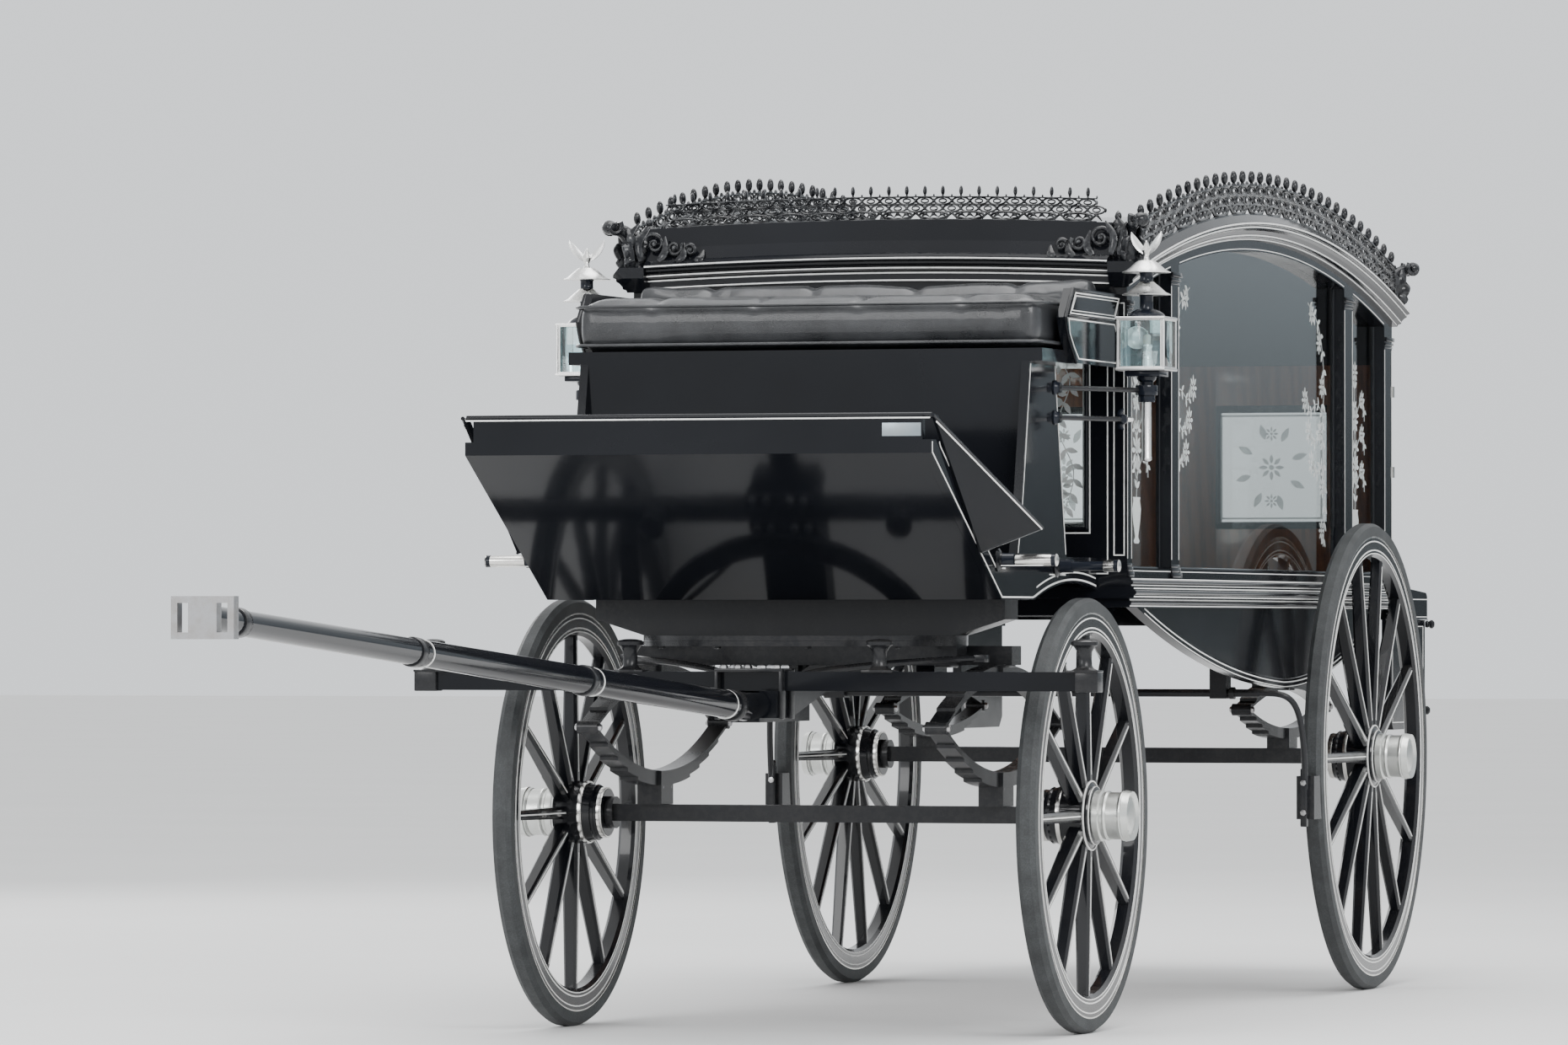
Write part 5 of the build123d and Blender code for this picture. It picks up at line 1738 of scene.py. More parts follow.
    @staticmethod
    def floor() -> None:
        """Lay the deck's boards and a stop bar across the head of the rear doorway."""
        boards = Shape()
        for n in range(9):
            x = -572 + n * 127.4
            boards.block((x, 676, 1064), (x + 124.8, 3354, 1069.5), 1.4)
        boards.publish("deck_boards", "deck_wood")
        stop = Shape()
        stop.block((-570, 3353, 1656), (570, 3361, 1686), 2)
        stop.publish("door_stop", "coach_black")


class Figures(Shape):
    """Frosted leaves, flowers and vines on one flat face of glass."""

    rise = 0.5

    def __init__(self, normal: Row) -> None:
        """Start on a face that looks along a direction."""
        super().__init__()
        self.normal = Vector(normal)
        self.first = Vector(BACKWARD if abs(self.normal.x) > 0.5 else OUTWARD)
        self.second = self.normal.cross(self.first)

    def leaf(self, base: Vector, along: Vector, length: float) -> None:
        """Etch one pointed leaf with its tip along a direction.

        Args:
            base: foot of the leaf.
            along: direction of its tip.
            length: its length.
        """
        across = along.cross(self.normal).normalized()
        half = [(0.2, 0.15), (0.5, 0.22), (0.8, 0.12)]
        rows = [(0.0, 0.0), *half, (1.0, 0.0), *[(a, -b) for a, b in reversed(half)]]
        edge = [base + along * (a * length) + across * (b * length) for a, b in rows]
        self.slab(edge, self.normal * self.rise)

    def flower(self, middle: Row, size: float) -> None:
        """Etch a flower of eight petals."""
        centre = Vector(middle)
        for angle in even_angles(8):
            along = self.first * cos(angle) + self.second * sin(angle)
            self.leaf(centre + along * (size * 0.28), along, size * 0.72)
        spokes = [self.first * cos(a) + self.second * sin(a) for a in even_angles(12)]
        self.slab([centre + spoke * (size * 0.2) for spoke in spokes], self.normal * self.rise)

    def vine(self, path: Sequence[Vector], size: float) -> None:
        """Etch a stem with a pair of leaves at every second point.

        Args:
            path: points of the stem.
            size: length of a leaf.
        """
        self.ribbon(path, self.normal, 2.2, rise=self.rise)
        for n in range(1, len(path) - 1, 2):
            tangent = (path[n + 1] - path[n - 1]).normalized()
            across = tangent.cross(self.normal)
            for sign in (-1, 1):
                self.leaf(path[n], (tangent * 0.8 + across * sign).normalized(), size)


@dataclass
class Etching:
    """Figures on the outer faces of the glass."""

    side_glass: float = 582.2
    front_glass: float = 659.8
    door_glass: float = 3366.2

    def build(self) -> None:
        """Make all pieces."""
        side = Figures(OUTWARD)
        for low, high in ((676, 1044), (2946, 3309)):
            self.spray(side, (low + high) / 2, 1150, 1640, 108)
        self.border(side)
        side.reflect()
        side.publish("etched_sides", "etched_figure")
        front = Figures(FORWARD)
        for sign in (-1, 1):
            self.front_corner(front, sign)
        front.publish("etched_front", "etched_figure")
        for hand, body in DOORS.items():
            door, sign, y = Figures(BACKWARD), hand.value, self.door_glass
            for z, size in ((1381, 36), (1472, 20), (1290, 20)):
                door.flower((sign * 289, y, z), size)
            for angle in (turn + 0.3 for turn in even_angles(8)):
                along = Vector((cos(angle), 0, sin(angle)))
                base = Vector((sign * 289 + 60 * along.x, y, 1381 + 78 * along.z))
                door.leaf(base, along, 44)
            frame = [(sign * 150, 1243), (sign * 150, 1521), (sign * 428, 1521), (sign * 428, 1243)]
            door.rear_line(y - 0.2, frame, 5, looped=True, rise=door.rise)
            door.publish(f"etched_door_{hand.word}", "etched_figure", body)

    def spray(self, pane: Figures, y: float, low: float, high: float, half: float) -> None:
        """Etch a tall spray that rises from a vase through the middle of a narrow light.

        Args:
            pane: the figures that it joins.
            y: place along the body.
            low: foot of the spray.
            high: top of the spray.
            half: half its width.
        """
        x = self.side_glass
        half_vase = [(-16, 0), (-26, 6), (-12, 16), (-30, 52), (-40, 84), (-28, 104), (-34, 112)]
        vase = half_vase + [(-out, level) for out, level in reversed(half_vase)]
        pane.slab(on_side(x, [(y + out, low + level) for out, level in vase]), pane.normal * pane.rise)
        top = low + 112
        span = high - top
        stem = [(y, top), (y + 10, top + span * 0.3), (y - 8, top + span * 0.65), (y, high)]
        pane.vine(smooth_path(on_side(x, stem), 5), 30)
        for sign in (-1, 1):
            for share in (0.12, 0.38, 0.62):
                z = top + span * share
                rows = (0, z), (0.5, z + 50), (0.95, z + 44), (1, z + 4)
                twig = on_side(x, [(y + sign * half * out, level) for out, level in rows])
                pane.vine(smooth_path(twig, 3), 24)
                pane.flower((x, y + sign * half * 0.74, z + 62), 26)
        for share, size in ((0.3, 44), (0.62, 34), (0.97, 30)):
            pane.flower((x, y, top + span * share), size)

    def border(self, pane: Figures) -> None:
        """Etch the long light with vines down both ends and sprays that reach in from them.

        Args:
            pane: the figures that it joins.
        """
        x = self.side_glass
        for edge, sign in ((1160, 1), (2812, -1)):
            top = arch_height(edge + sign * 40, SOFFIT_RADIUS - 60)
            rows = (210, top + 4), (90, top - 60), (34, top - 190), (52, top - 330), (26, 1290), (44, 1160)
            path = smooth_path(on_side(x, [(edge + sign * reach, z) for reach, z in rows]), 6)
            pane.vine(path, 30)
            for n in range(3, len(path) - 2, 5):
                pane.flower(path[n] + Vector((0, sign * 26, 0)), 30)
            for low, reach in ((1420, 150), (1500, 190), (1340, 120)):
                rows = (40, low), (reach * 0.6, low + 34), (reach, low + 10), (reach + 40, low + 36)
                twig = on_side(x, [(edge + sign * out, z) for out, z in rows])
                pane.vine(smooth_path(twig, 4), 24)
                pane.flower((x, edge + sign * (reach + 56), low + 40), 34)

    def front_corner(self, pane: Figures, sign: int) -> None:
        """Etch vines down one side of the front pane, with a frame line.

        Args:
            pane: the figures that it joins.
            sign: 1 for the left, -1 for the right.
        """
        y = self.front_glass
        rows = (250, 1640), (400, 1620), (470, 1540), (440, 1430), (480, 1320), (456, 1220)
        path = smooth_path(on_front(y, [(sign * x, z) for x, z in rows]), 6)
        pane.vine(path, 32)
        for n in range(2, len(path) - 2, 6):
            pane.flower(path[n] - Vector((sign * 34, 0, 0)), 34)
        frame = [(0, 1198), (sign * 504, 1198), (sign * 504, 1661), (0, 1661)]
        pane.front_line(y, frame, 4, rise=pane.rise)
        pane.flower((sign * 120, y, 1600), 30)


@dataclass
class RearDoors:
    """Veneer, bead and lines of the two door leaves."""

    def build(self) -> None:
        """Make the pieces of both leaves."""
        for hand, body in DOORS.items():
            sign, word = hand.value, hand.word
            inner, black, lines = Shape(), Shape(), Shape()
            for near, far, low, high in (
                (4.5, 134, 1097, 1667),
                (443.5, 573.5, 1097, 1667),
                (134, 443.5, 1097, 1214.5),
                (134, 443.5, 1549, 1667),
            ):
                xs = sorted((sign * near, sign * far))
                inner.block((xs[0], 3363.2, low), (xs[1], 3366.6, high), 0.8)
            for x in (137, 440.5):
                black.cross_bar(3399, [(sign * x, 1229), (sign * x, 1535)], 5, 8)
            for z in (1229.5, 1534.5):
                black.cross_bar(3399, [(sign * 136, z), (sign * 441, z)], 5, 8)
            xs = sorted((sign * 3, sign * 10))
            black.block((xs[0], 3398, 1098), (xs[1], 3406, 1666), 2)
            for inset in (14, 112):
                near, far, low, high = 4 + inset, 574 - inset, 1096 + inset, 1667 - inset
                frame = [(near, low), (near, high), (far, high), (far, low)]
                lines.rear_line(3400, [(sign * x, z) for x, z in frame], 2.8, looped=True)
            inner.publish(f"door_veneer_{word}", "door_wood", body)
            black.publish(f"door_bead_{word}", "coach_black", body)
            lines.publish(f"door_lines_{word}", "white_lining", body)
        knob = Shape()
        tip = [(0, -4), (8, -4), (10, 0), (8, 5), (5, 8), (0, 9)]
        for end in (-1, 1):
            knob.turned(tip, (70, 3434, 1336.2 + end * 47), (0, 0, end), 20)
        knob.turned([(0, 0), (20, 0), (20, 2), (15, 4), (11, 6), (0, 6)], (70, 3400, 1336.2), BACKWARD, 28)
        knob.publish("handle_rose", "silver_plate", Body.DOOR_LEFT)


@dataclass
class Boot:
    """White lines and plates of the driver's boot, its wings and steps, with a pale metal patch on the dash
    that paints a sky reflection.
    """

    face: float = 550.0
    lines: Shape = field(default_factory=Shape)
    black: Shape = field(default_factory=Shape)
    silver: Shape = field(default_factory=Shape)

    def build(self) -> None:
        """Make all pieces."""
        self.side_lines()
        self.riser_lines()
        self.dash()
        self.wing()
        self.steps()
        for shape in (self.lines, self.black, self.silver):
            shape.reflect()
        self.lines.publish("boot_lines", "white_lining")
        # painted reflection: a thin pale metal patch on the dash front where the sky is mirrored
        plate = Shape()
        plate.block((436, -797.2, 1374), (527, -794, 1404), 1.2)
        plate.publish("dash_plate", "dull_plate")
        self.black.publish("boot_mouldings", "coach_black")
        self.silver.publish("step_ferrules", "silver_plate")

    def side_lines(self) -> None:
        """Run two lines down the front edge, along the skirt and over the wheel."""
        arch = (403.0, -384.6)
        radius = 1438.0
        skirt = arc(arch, radius + 7, 66, 604, 24)
        outer = [(-786, 1362), (-786, 1338), (-216, 1017), (46, 1017), (66, skirt[0][1])] + skirt[1:]
        self.lines.side_line(self.face, outer, 4.2)
        self.lines.side_line(self.face, arc(arch, radius + 24, 78, 600, 24), 3.4)
        self.lines.side_line(self.face, [(-730, 1362), (-722, 1352), (-268, 1085), (-190, 1083)], 3.4)
        self.lines.side_line(self.face, [(190, 1071), (330, 1071)], 3.0)

    def riser_lines(self) -> None:
        """Line both curved edges of the seat riser."""
        front = smooth_path([(self.face, -82, 1119), (self.face, -42, 1243), (self.face, 27, 1560)], 8)
        self.lines.ribbon(front, OUTWARD, 3.0)
        rear = smooth_path([(self.face, 238, 1560), (self.face, 259, 1456), (self.face, 333, 1119)], 8)
        self.lines.ribbon(rear, OUTWARD, 3.0)

    def dash(self) -> None:
        """Roll the dash's upper edge, line it and board the sloping footboard."""
        self.lines.ribbon(points((0, -796.4, 1415), (548, -796.4, 1415)), (0, -1, 0), 3.2)
        self.black.tube(points((0, -785, 1421), (549, -785, 1421)), 6.5, 12)
        for n in range(3):
            start = Vector((0, -756 + 170 * n, 1352 - 97 * n))
            self.black.tube([start, start + Vector((528, 0, 0))], 4.5, 8)

    def wing(self) -> None:
        """Bead and line the upper edge of the side wing."""
        top, tip, foot = Vector((551, -797, 1422)), Vector((621, -141, 1177)), Vector((553, -412, 1120))
        normal = (foot - top).cross(tip - top).normalized()
        normal = normal if normal.x > 0 else -normal
        self.black.tube([top + normal * 4, tip + normal * 4], 4.6, 10)
        self.black.tube([tip + normal * 4, foot + normal * 4], 3.6, 10)
        inward = (foot - (top + tip) / 2).normalized()
        self.lines.ribbon(
            [top.lerp(tip, 0.02) + inward * 9 + normal * 8, top.lerp(tip, 0.985) + inward * 6 + normal * 8],
            normal, 3.4,
        )
        self.lines.ribbon(
            [top.lerp(tip, 0.005) + inward * 1.5 - normal * 0.2, tip + inward * 1.5 - normal * 0.2],
            -normal, 3.0,
        )

    def steps(self) -> None:
        """Collar and tread the step pegs."""
        for y, z, length in ((-250, 1101.4, 128), (250, 1091.4, 141)):
            place, end = (self.face, y, z), length + 9
            collar_rows = [(10, 0), (26, 0), (27, 3), (22, 6), (17.5, 8), (17, 12), (10, 12)]
            self.black.turned(collar_rows, place, OUTWARD, 28, closed=True)
            start = 42 if y < 0 else length - 26
            sleeve = [(10, start), (13.2, start + 1), (13.8, start + 3), (13.8, end), (10, end)]
            self.silver.turned(sleeve, place, OUTWARD, 24, closed=True)
            cap = [(0, end), (13.4, end), (14.6, end + 2), (12, end + 4.4), (6, end + 6), (0, end + 6.4)]
            self.silver.turned(cap, place, OUTWARD, 28)
        self.lines.ribbon(points((560, -262, 1089), (660, -262, 1089)), (0, -1, 0), 2.4)


@dataclass
class Seat:
    """Padded cushion and roll, and the lined side panels of the seat."""

    voxel_mm: float = 11.0
    half_width: float = 574.0
    widest: float = 579.0
    foot: float = 1597.0
    seams: tuple[float, ...] = (-381.0, -127.0, 127.0, 381.0)
    swell_frames: int = 20

    def build(self) -> None:
        """Make all pieces."""
        self.panels()
        self.cushions()

    @staticmethod
    def panels() -> None:
        """Line the two panels of each side and bead their edges."""
        lines, black = Shape(), Shape()
        upper = [(176, 1682), (222, 1731), (612, 1731), (574, 1682)]
        inner = [(190, 1689), (226, 1724), (600, 1724), (571, 1689)]
        lower = [(162, 1668), (172, 1634), (208, 1604), (250, 1577), (598, 1577), (598, 1640), (572, 1668)]
        for outline, width in ((upper, 3.4), (inner, 2.2), (lower, 3.2)):
            lines.side_line(605, outline, width, looped=True)
        rim = [(244, 1569), (174, 1628), (149, 1671), (207, 1738), (628, 1738)]
        black.side_bar(600, rim, 5.5, 10)
        black.side_bar(604, [(158, 1675), (600, 1675)], 3.4, 8)
        for shape in (lines, black):
            shape.reflect()
        lines.publish("seat_lines", "white_lining")
        black.publish("seat_bead", "coach_black")

    def cushions(self) -> None:
        """Pad the long cushion and the roll behind it, then pipe their seams."""
        half = self.half_width
        cushion = self.pad("seat_cushion", (-half, 27, 1602), (half, 482, 1716), 36, 12)
        roll = self.pad("seat_roll", (-half, 494, 1602), (half, 579, 1780), 36, 8)
        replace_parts(cushion, "seat_cushions")
        piping = Shape()
        for z in (1703, 1612):
            loop = self.rounded((2 - half, 24), (half - 2, 485), 44)
            piping.tube([Vector((x, y, z)) for x, y in loop], 4.2, 8, looped=True, up=UPWARD)
        piping.publish("cushion_piping", "seat_leather")

    @staticmethod
    def rounded(low: Pair, high: Pair, radius: float) -> list[Pair]:
        """Return a rectangle with rounded corners as (X, Y) rows.

        Args:
            low: lowest corner.
            high: highest corner.
            radius: radius of its corners.

        Returns:
            Rows of X and Y.
        """
        rows = []
        near, far = [c + radius for c in low], [c - radius for c in high]
        middles = far, (near[0], far[1]), near, (far[0], near[1])
        for quarter, (cx, cy) in enumerate(middles):
            for step in range(6):
                angle = radians(90 * quarter + 18 * step)
                rows.append((cx + radius * cos(angle), cy + radius * sin(angle)))
        return rows

    def pad(self, name: str, low: Row, high: Row, radius: float, cap: float) -> Object:
        """Swell a rounded block into a stuffed pad.

        Args:
            name: the piece's name.
            low: lowest corner before it swells.
            high: highest corner before it swells.
            radius: rounding of its edges.
            cap: furthest that a point may swell.

        Returns:
            The finished pad.
        """
        shape = Shape()
        shape.block(low, high, radius)
        mesh = shape.mesh(name)
        form = bmesh.new()
        form.from_mesh(mesh)
        for axis, count in ((0, 13), (1, 4)):
            span = high[axis] - low[axis]
            for n in range(1, count):
                place, across = Vector(), Vector()
                place[axis], across[axis] = low[axis] + span * n / count, 1.0
                everything = form.verts[:] + form.edges[:] + form.faces[:]
                bmesh.ops.bisect_plane(form, geom=everything, plane_co=place, plane_no=across)
        form.to_mesh(mesh)
        form.free()
        mesh.transform(Matrix.Scale(MM, 4))
        obj = link_piece(name, mesh)
        bpy.context.view_layer.objects.active = obj
        remesh = obj.modifiers.new("remesh", "REMESH")
        remesh.mode = "VOXEL"
        remesh.voxel_size = self.voxel_mm * MM
        self.apply(obj)
        rest = [vert.co.copy() for vert in obj.data.vertices]
        self.swell(obj)
        self.shape_up(obj, rest, low, high, cap)
        smooth = obj.modifiers.new("smooth", "SUBSURF")
        smooth.levels = smooth.render_levels = 1
        self.apply(obj)
        obj.data.shade_smooth()
        coat_and_ride(obj, "seat_leather")
        return obj

    @staticmethod
    def apply(obj: Object) -> None:
        """Replace an object's mesh with what its modifiers make of it."""
        made = evaluated_mesh(obj)
        obj.modifiers.clear()
        obj.data = made

    def swell(self, obj: Object) -> None:
        """Blow the pad up as cloth for some frames.

        Args:
            obj: the pad.
        """
        cloth = obj.modifiers.new("cloth", "CLOTH")
        weave = cloth.settings
        weave.use_pressure = True
        weave.uniform_pressure_force = 4.0
        weave.effector_weights.gravity = 0.0
        weave.mass = 0.3
        weave.tension_stiffness = weave.compression_stiffness = 14.0
        weave.bending_stiffness = 0.6
        cloth.point_cache.frame_start, cloth.point_cache.frame_end = 1, self.swell_frames
        for frame in range(1, self.swell_frames + 1):
            bpy.context.scene.frame_set(frame)
        self.apply(obj)
        bpy.context.scene.frame_set(1)

    def shape_up(self, obj: Object, rest: Sequence[Vector], low: Row, high: Row, cap: float) -> None:
        """Cap the swelling, keep the foot flat and press in seams and creases.

        Args:
            obj: the object.
            rest: points before it swelled.
            low: lowest corner of the pad.
            high: highest corner of the pad.
            cap: furthest that a point may move.
        """
        random.seed(7)
        spans = (low[0], high[0]), (low[1], high[1]), (2.0, 4.5)
        dents = [tuple(random.uniform(*span) for span in spans) for _ in range(14)]
        for vert, start in zip(obj.data.vertices, rest):
            move = vert.co - start
            if move.length > cap * MM:
                move = move.normalized() * (cap * MM)
            co = start + move
            x, y, z = (c / MM for c in co)
            x0, y0, z0 = (c / MM for c in start)
            crown = max(0.0, (z0 - (low[2] + high[2]) / 2) / ((high[2] - low[2]) / 2))
            for dx, dy, deep in dents:
                z -= crown * deep * exp(-((x0 - dx) ** 2 / 70**2 + (y0 - dy) ** 2 / 45**2))
            seam = min(abs(x0 - place) for place in self.seams)
            z -= crown * 9.0 * exp(-((seam / 13) ** 2))
            x = min(max(x, -self.widest), self.widest)
            y = min(max(y, low[1] - cap + 1), high[1] + cap - 1)
            vert.co = Vector((x, y, max(z, self.foot))) * MM


@dataclass
class Lamps:
    """Bevelled panes, reflector, candle, mouldings and leaf finial of both lamps."""

    x: float = 700.0
    y: float = 510.0
    low: float = 1561.4
    high: float = 1676.4
    glass: Shape = field(default_factory=Shape)
    silver: Shape = field(default_factory=Shape)
    black: Shape = field(default_factory=Shape)
    wax: Shape = field(default_factory=Shape)

    def build(self) -> None:
        """Make all pieces."""
        self.panes()
        self.frame()
        self.inside()
        self.finial()
        self.arms()
        for shape in (self.glass, self.silver, self.black, self.wax):
            shape.reflect()
        glass = self.glass.publish("lamp_panes", "lamp_pane_glass")
        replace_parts(glass, "lamp_glasses")
        self.silver.publish("lamp_silver", "lamp_silver")
        self.black.publish("lamp_black", "lamp_black")
        self.wax.publish("lamp_candles", "candle_wax")

    def spin(self, shape: Shape, profile: Sequence[Row], sides: int, closed: bool = False) -> None:
        """Turn a profile about the lamp's upright axis."""
        shape.turned(profile, (self.x, self.y, 0), sides=sides, closed=closed)

    def panes(self) -> None:
        """Set a bevelled pane in each of the four faces."""
        for axis in (0, 1):
            for sign in (-1, 1):
                rings = []
                for half, tall, out in ((48.4, 57.4, 46.5), (48.4, 57.4, 49.5), (39, 48, 52.5)):
                    ring = []
                    for u, v in ((-half, -tall), (half, -tall), (half, tall), (-half, tall)):
                        offset = (sign * out, u) if axis == 0 else (u, sign * out)
                        ring.append(
                            Vector((self.x + offset[0], self.y + offset[1], (self.low + self.high) / 2 + v))
                        )
                    rings.append(ring)
                self.glass.loft(rings)

    def frame(self) -> None:
        """Mould the lantern's frame and put black sleeves on the necks, dome and stem."""
        for z, half, size in (
            (1558.4, 58, 3.6), (1562.5, 56.6, 2.4), (1675.5, 56.6, 2.4), (1679.4, 58, 3.6)
        ):
            corners = (-half, -half), (half, -half), (half, half), (-half, half)
            square = [Vector((self.x + dx, self.y + dy, z)) for dx, dy in corners]
            self.silver.tube(square, size, 8, looped=True, up=UPWARD)
        for dx in (-1, 1):
            for dy in (-1, 1):
                post = [Vector((self.x + dx * 56, self.y + dy * 56, z)) for z in (1560, 1678)]
                self.silver.tube(post, 3.4, 8)
        dome = [(0, 0), (45, 0), (46, 3), (42, 9), (34, 15), (25, 19.5), (18, 21), (0, 21)]
        self.black.turned(dome, (self.x, self.y, 1681), sides=36)
        for low, high in ((1701, 1736.2), (1767.5, 1789.2)):
            sleeve = [
                (15.2, low), (16.6, low + 1), (15.6, low + 4), (15.6, high - 4), (17.5, high - 1),
                (17, high), (14, high), (14, low),
            ]
            self.spin(self.black, sleeve, 36, closed=True)
        for base in (1736.4, 1789.4):
            cone = [
                (20, base - 0.8), (57.5, base - 1.4), (58.4, base), (55, base + 1.6), (46.5, base + 5.5),
                (38.5, base + 12.5), (29.5, base + 20.6), (19, base + 27.8), (14, base + 27),
            ]
            self.spin(self.silver, cone, 44, closed=True)
        self.black.block((self.x - 43, self.y - 43, 1541.5), (self.x + 43, self.y + 43, 1555), 3)
        stem = [
            (13, 1542), (24, 1541), (22, 1534), (16, 1529), (15.6, 1500), (19.6, 1497), (20.4, 1488),
            (19.6, 1481), (12, 1480.5),
        ]
        self.spin(self.black, stem, 32, closed=True)
        tube = [
            (10.6, 1480), (11.6, 1479), (11.6, 1352), (12.6, 1350), (12.6, 1345), (8, 1341), (0, 1339.8),
            (0, 1480),
        ]
        self.spin(self.silver, tube, 32, closed=True)

    def inside(self) -> None:
        """Stand a candle in its holder before a dished reflector."""
        self.spin(self.silver, [(0, 1562), (20, 1562), (21, 1566), (13, 1570), (12, 1584), (0, 1584)], 28)
        dish = [(0, 0), (9, 1), (17, 4), (23, 9), (24, 9), (24, 7.5), (17, 2), (9, -1), (0, -2)]
        self.silver.turned(dish, (self.x - 30, self.y + 34, 1634), (0.2, -1, 0), 28)
        holder = [
            (0, 1582), (10.8, 1582), (11.6, 1585), (10.6, 1588), (10.6, 1611), (12.2, 1614), (11, 1618),
            (8.6, 1619), (0, 1619),
        ]
        self.spin(self.silver, holder, 28)
        self.spin(self.wax, [(0, 1612), (8.2, 1612), (8.4, 1636), (6.6, 1640), (0, 1639)], 20)
        self.wax.tube(
            smooth_path(
                [(self.x, self.y, 1637), (self.x + 0.6, self.y, 1644), (self.x + 2, self.y, 1648)], 3
            ),
            0.9, 6,
        )

    def finial(self) -> None:
        """Spread two leaves over the upper cone and set a ball between them."""
        ball = [
            (0, 1814), (9, 1815), (6.5, 1821), (5.4, 1830), (8.5, 1836), (9.6, 1842), (8.4, 1848),
            (4.6, 1853), (2, 1860), (0, 1864),
        ]
        self.spin(self.silver, ball, 24)
        for sign in (-1, 1):
            spread = (0, 0, 1830), (12, 4, 1842), (26, 9, 1858), (37, 12, 1876), (40, 13, 1886)
            leaf = smooth_path([(self.x + sign * dx, self.y - sign * dy, z) for dx, dy, z in spread], 3)
            widths = [2, 3.5, 5.5, 7.5, 9, 9.6, 9.4, 8.6, 7.2, 5.4, 3.6, 1.8, 0.8]
            self.silver.tube(leaf, widths, 8, flat=0.28, up=(0, -1, 0.3))

    def arms(self) -> None:
        """Knob the lower rod and collar the upper arm."""
        self.black.turned(
            [(0, -12), (8, -11), (12, -5), (12.5, 0), (12, 5), (8, 11), (0, 12)], (658, 450, 1439.4),
            (0.4, -0.9, 0), 18,
        )
        for sign in (-1, 1):
            wing = smooth_path(
                [(658, 450, 1439.4), (650, 452, 1439.4 + sign * 14), (660, 450, 1439.4 + sign * 25)], 4
            )
            self.black.tube(wing, [5, 5.5, 6, 6.5, 6.5, 6, 5, 3.5, 1.5], 8, flat=0.5, up=FORWARD)
        self.silver.turned(
            [(0, 10), (5.5, 11), (6.5, 18), (5.4, 26), (0, 28)], (658, 450, 1439.4), (0.7, 0.7, 0), 16
        )
        for y, z in ((235, 1509.4), (235, 1439.4)):
            self.black.turned(
                [(8, 0), (17, 0), (18, 3), (14, 7), (12.5, 14), (8, 15)], (550, y, z), OUTWARD, 24,
                closed=True,
            )
        self.black.turned(
            [(15.4, -12), (25.5, -12), (26.5, -9), (26.5, 9), (25.5, 12), (15.4, 12)],
            (self.x, self.y, 1509.4), UPWARD, 32, closed=True,
        )


# Studio


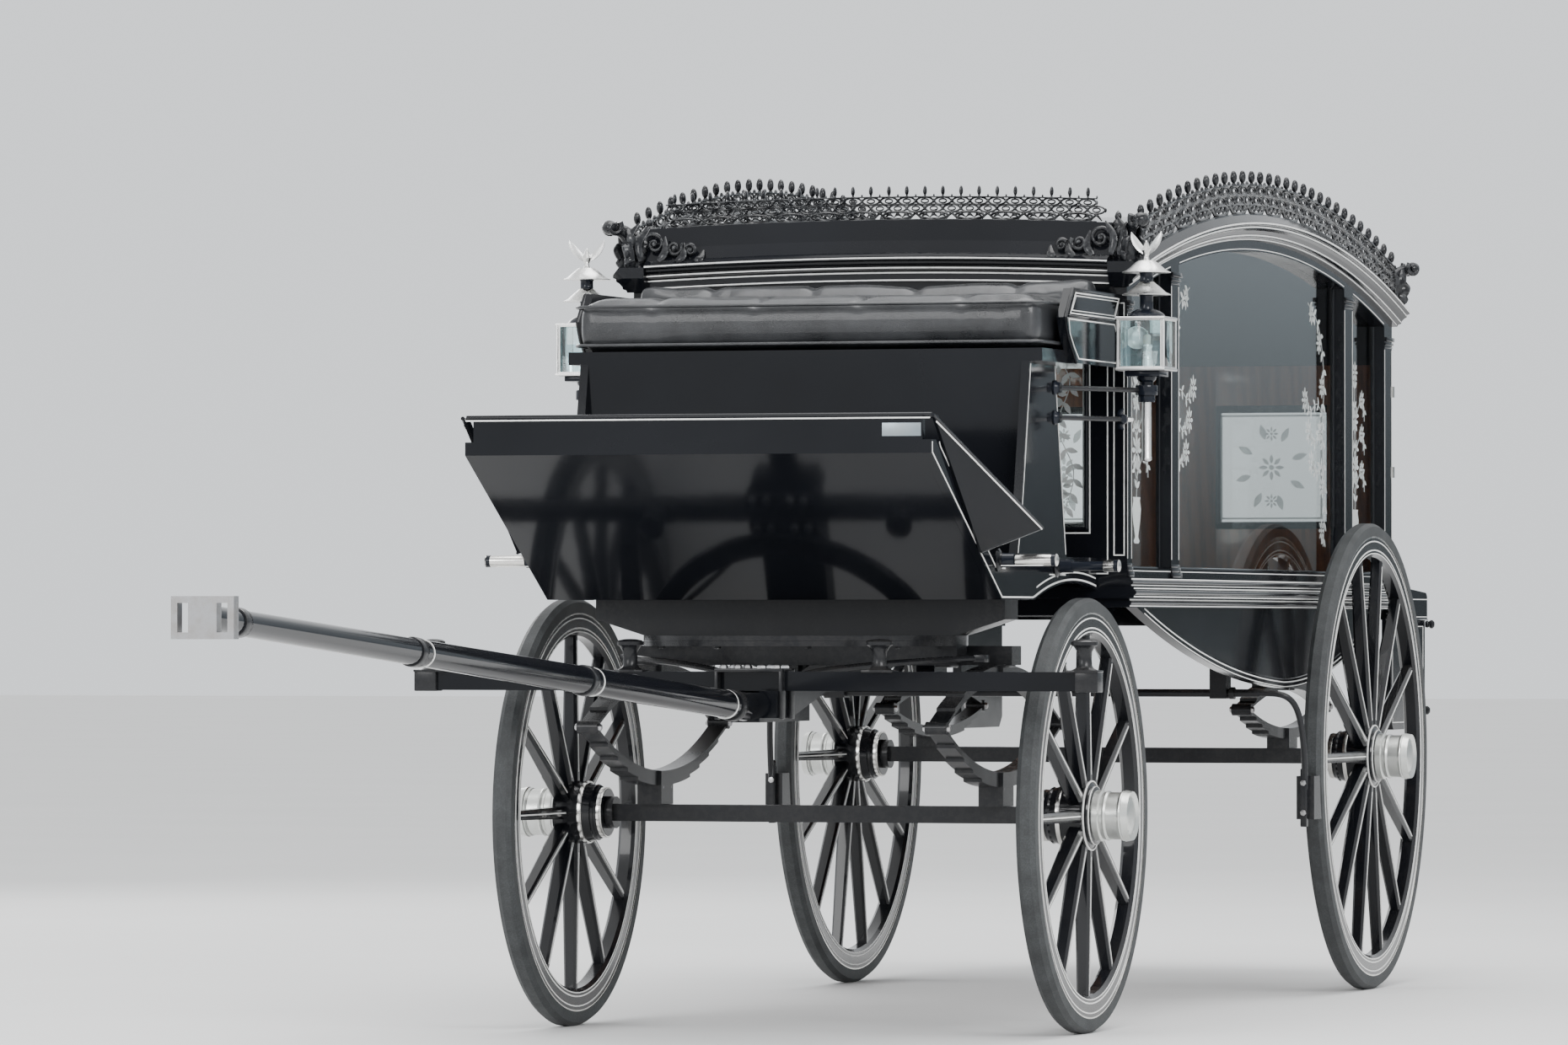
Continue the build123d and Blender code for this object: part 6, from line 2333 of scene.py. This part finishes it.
@dataclass
class Studio:
    """Pale floor, soft light and the camera where the photographer stood."""

    stand: tuple[float, float, float] = (5.779, -18.663, 0.947)
    heading_deg: float = 17.32
    pitch_deg: float = 0.72
    lens_mm: float = 192.0
    floor_half: float = 90.0

    def build(self) -> None:
        """Make floor, world, lights and camera."""
        self.floor()
        self.world()
        self.lights()
        self.camera()

    def floor(self) -> None:
        """Make the wide pale floor."""
        mesh = bpy.data.meshes.new("studio_floor")
        half = self.floor_half
        corners = [(-half, -half, 0), (half, -half, 0), (half, half, 0), (-half, half, 0)]
        mesh.from_pydata(corners, [], [(0, 1, 2, 3)])
        floor = link_piece("studio_floor", mesh)
        graph = MaterialGraph("studio_paper")
        tone = graph.mix(graph.noise(graph.place(), 0.8, 4), (0.76, 0.76, 0.755, 1), (0.82, 0.82, 0.815, 1))
        mesh.materials.append(graph.shade(Base_Color=tone, Roughness=0.8, Specular_IOR_Level=0.2))

    def world(self) -> None:
        """Make a near-white sky, greyer towards the skyline that the polished sides mirror."""
        world = bpy.data.worlds.new("studio_light")
        bpy.context.scene.world = world
        world.use_nodes = True
        graph = Graph(world.node_tree)
        axes = graph.add("ShaderNodeSeparateXYZ")
        graph.feed(axes.inputs[0], graph.add("ShaderNodeTexCoord").outputs["Generated"])
        east, north, height = axes.outputs
        level = graph.ramp(graph.scaled(height, 0.5, 0.5), [(0.5, 0), (0.9, 1)])
        sky = graph.mix(level, (0.86, 0.89, 0.92, 1), (0.98, 0.99, 1.0, 1))
        low = graph.ramp(graph.math("ABSOLUTE", height), [(0.12, 1), (0.5, 0)])
        aside = graph.ramp(graph.scaled(east, 0.5, 0.5), [(0.5, 0), (0.57, 1)])
        ahead = graph.ramp(graph.scaled(north, 0.5, 0.5), [(0.55, 0), (0.75, 1)])
        sector = graph.product(low, aside, ahead)
        rise = graph.ramp(height, [(0.008, 0), (0.045, 1)])
        skyline = graph.mix(rise, (0.08, 0.095, 0.1, 1), (0.31, 0.35, 0.38, 1))
        background = graph.add("ShaderNodeBackground")
        graph.feed(background.inputs["Color"], graph.mix(sector, sky, skyline))
        graph.feed(background.inputs["Strength"], 1.3)
        output = graph.add("ShaderNodeOutputWorld")
        graph.feed(output.inputs[0], background.outputs[0])

    def lights(self) -> None:
        """Make the large soft lights."""
        for name, place, target, width, height, power in (
            ("key_light", (7.5, -6.5, 6.5), (0, 1.0, 1.0), 6.0, 3.5, 700),
            ("top_light", (0.5, 1.0, 7.0), (0, 1.2, 1.0), 7.0, 4.0, 420),
            ("front_light", (-4.0, -9.0, 4.0), (0, 0.5, 1.2), 4.0, 3.0, 240),
            ("back_light", (-6.5, 7.5, 4.5), (0, 1.5, 1.2), 5.0, 3.0, 260),
        ):
            light = bpy.data.lights.new(name, "AREA")
            light.shape = "RECTANGLE"
            light.size, light.size_y, light.energy = width, height, power
            holder = link_piece(name, light)
            holder.location = place
            holder.rotation_euler = (Vector(target) - Vector(place)).to_track_quat("-Z", "Y").to_euler()

    def camera(self) -> None:
        """Set the camera at the photograph's place."""
        data = bpy.data.cameras.new("photo_camera")
        data.lens = self.lens_mm
        data.sensor_width = 36.0
        data.clip_start, data.clip_end = 0.5, 200.0
        camera = link_piece("photo_camera", data)
        yaw, pitch = radians(self.heading_deg), radians(self.pitch_deg)
        sight = Vector((-sin(yaw) * cos(pitch), cos(yaw) * cos(pitch), sin(pitch)))
        camera.location = self.stand
        camera.rotation_euler = sight.to_track_quat("-Z", "Y").to_euler()
        bpy.context.scene.camera = camera


def main() -> None:
    """Load the frame, dress it, add the fine work and set the stage."""
    logging.basicConfig(level=logging.INFO, format="%(name)s %(message)s")
    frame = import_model()
    dress_nodes(frame["nodes"])
    for side in Side:
        Wheel("front", side, diameter=1016.0, spokes=12, track=1263.0, y=190.0).build()
        Wheel("rear", side, diameter=1220.0, spokes=14, track=1417.0, y=2730.0).build()
    for group in (
        ForeCarriage, RearGear, CorniceAndGallery, GlazedBody, Etching, RearDoors, Boot, Seat, Lamps
    ):
        group().build()
    Studio().build()


if __name__ == "__main__":
    main()
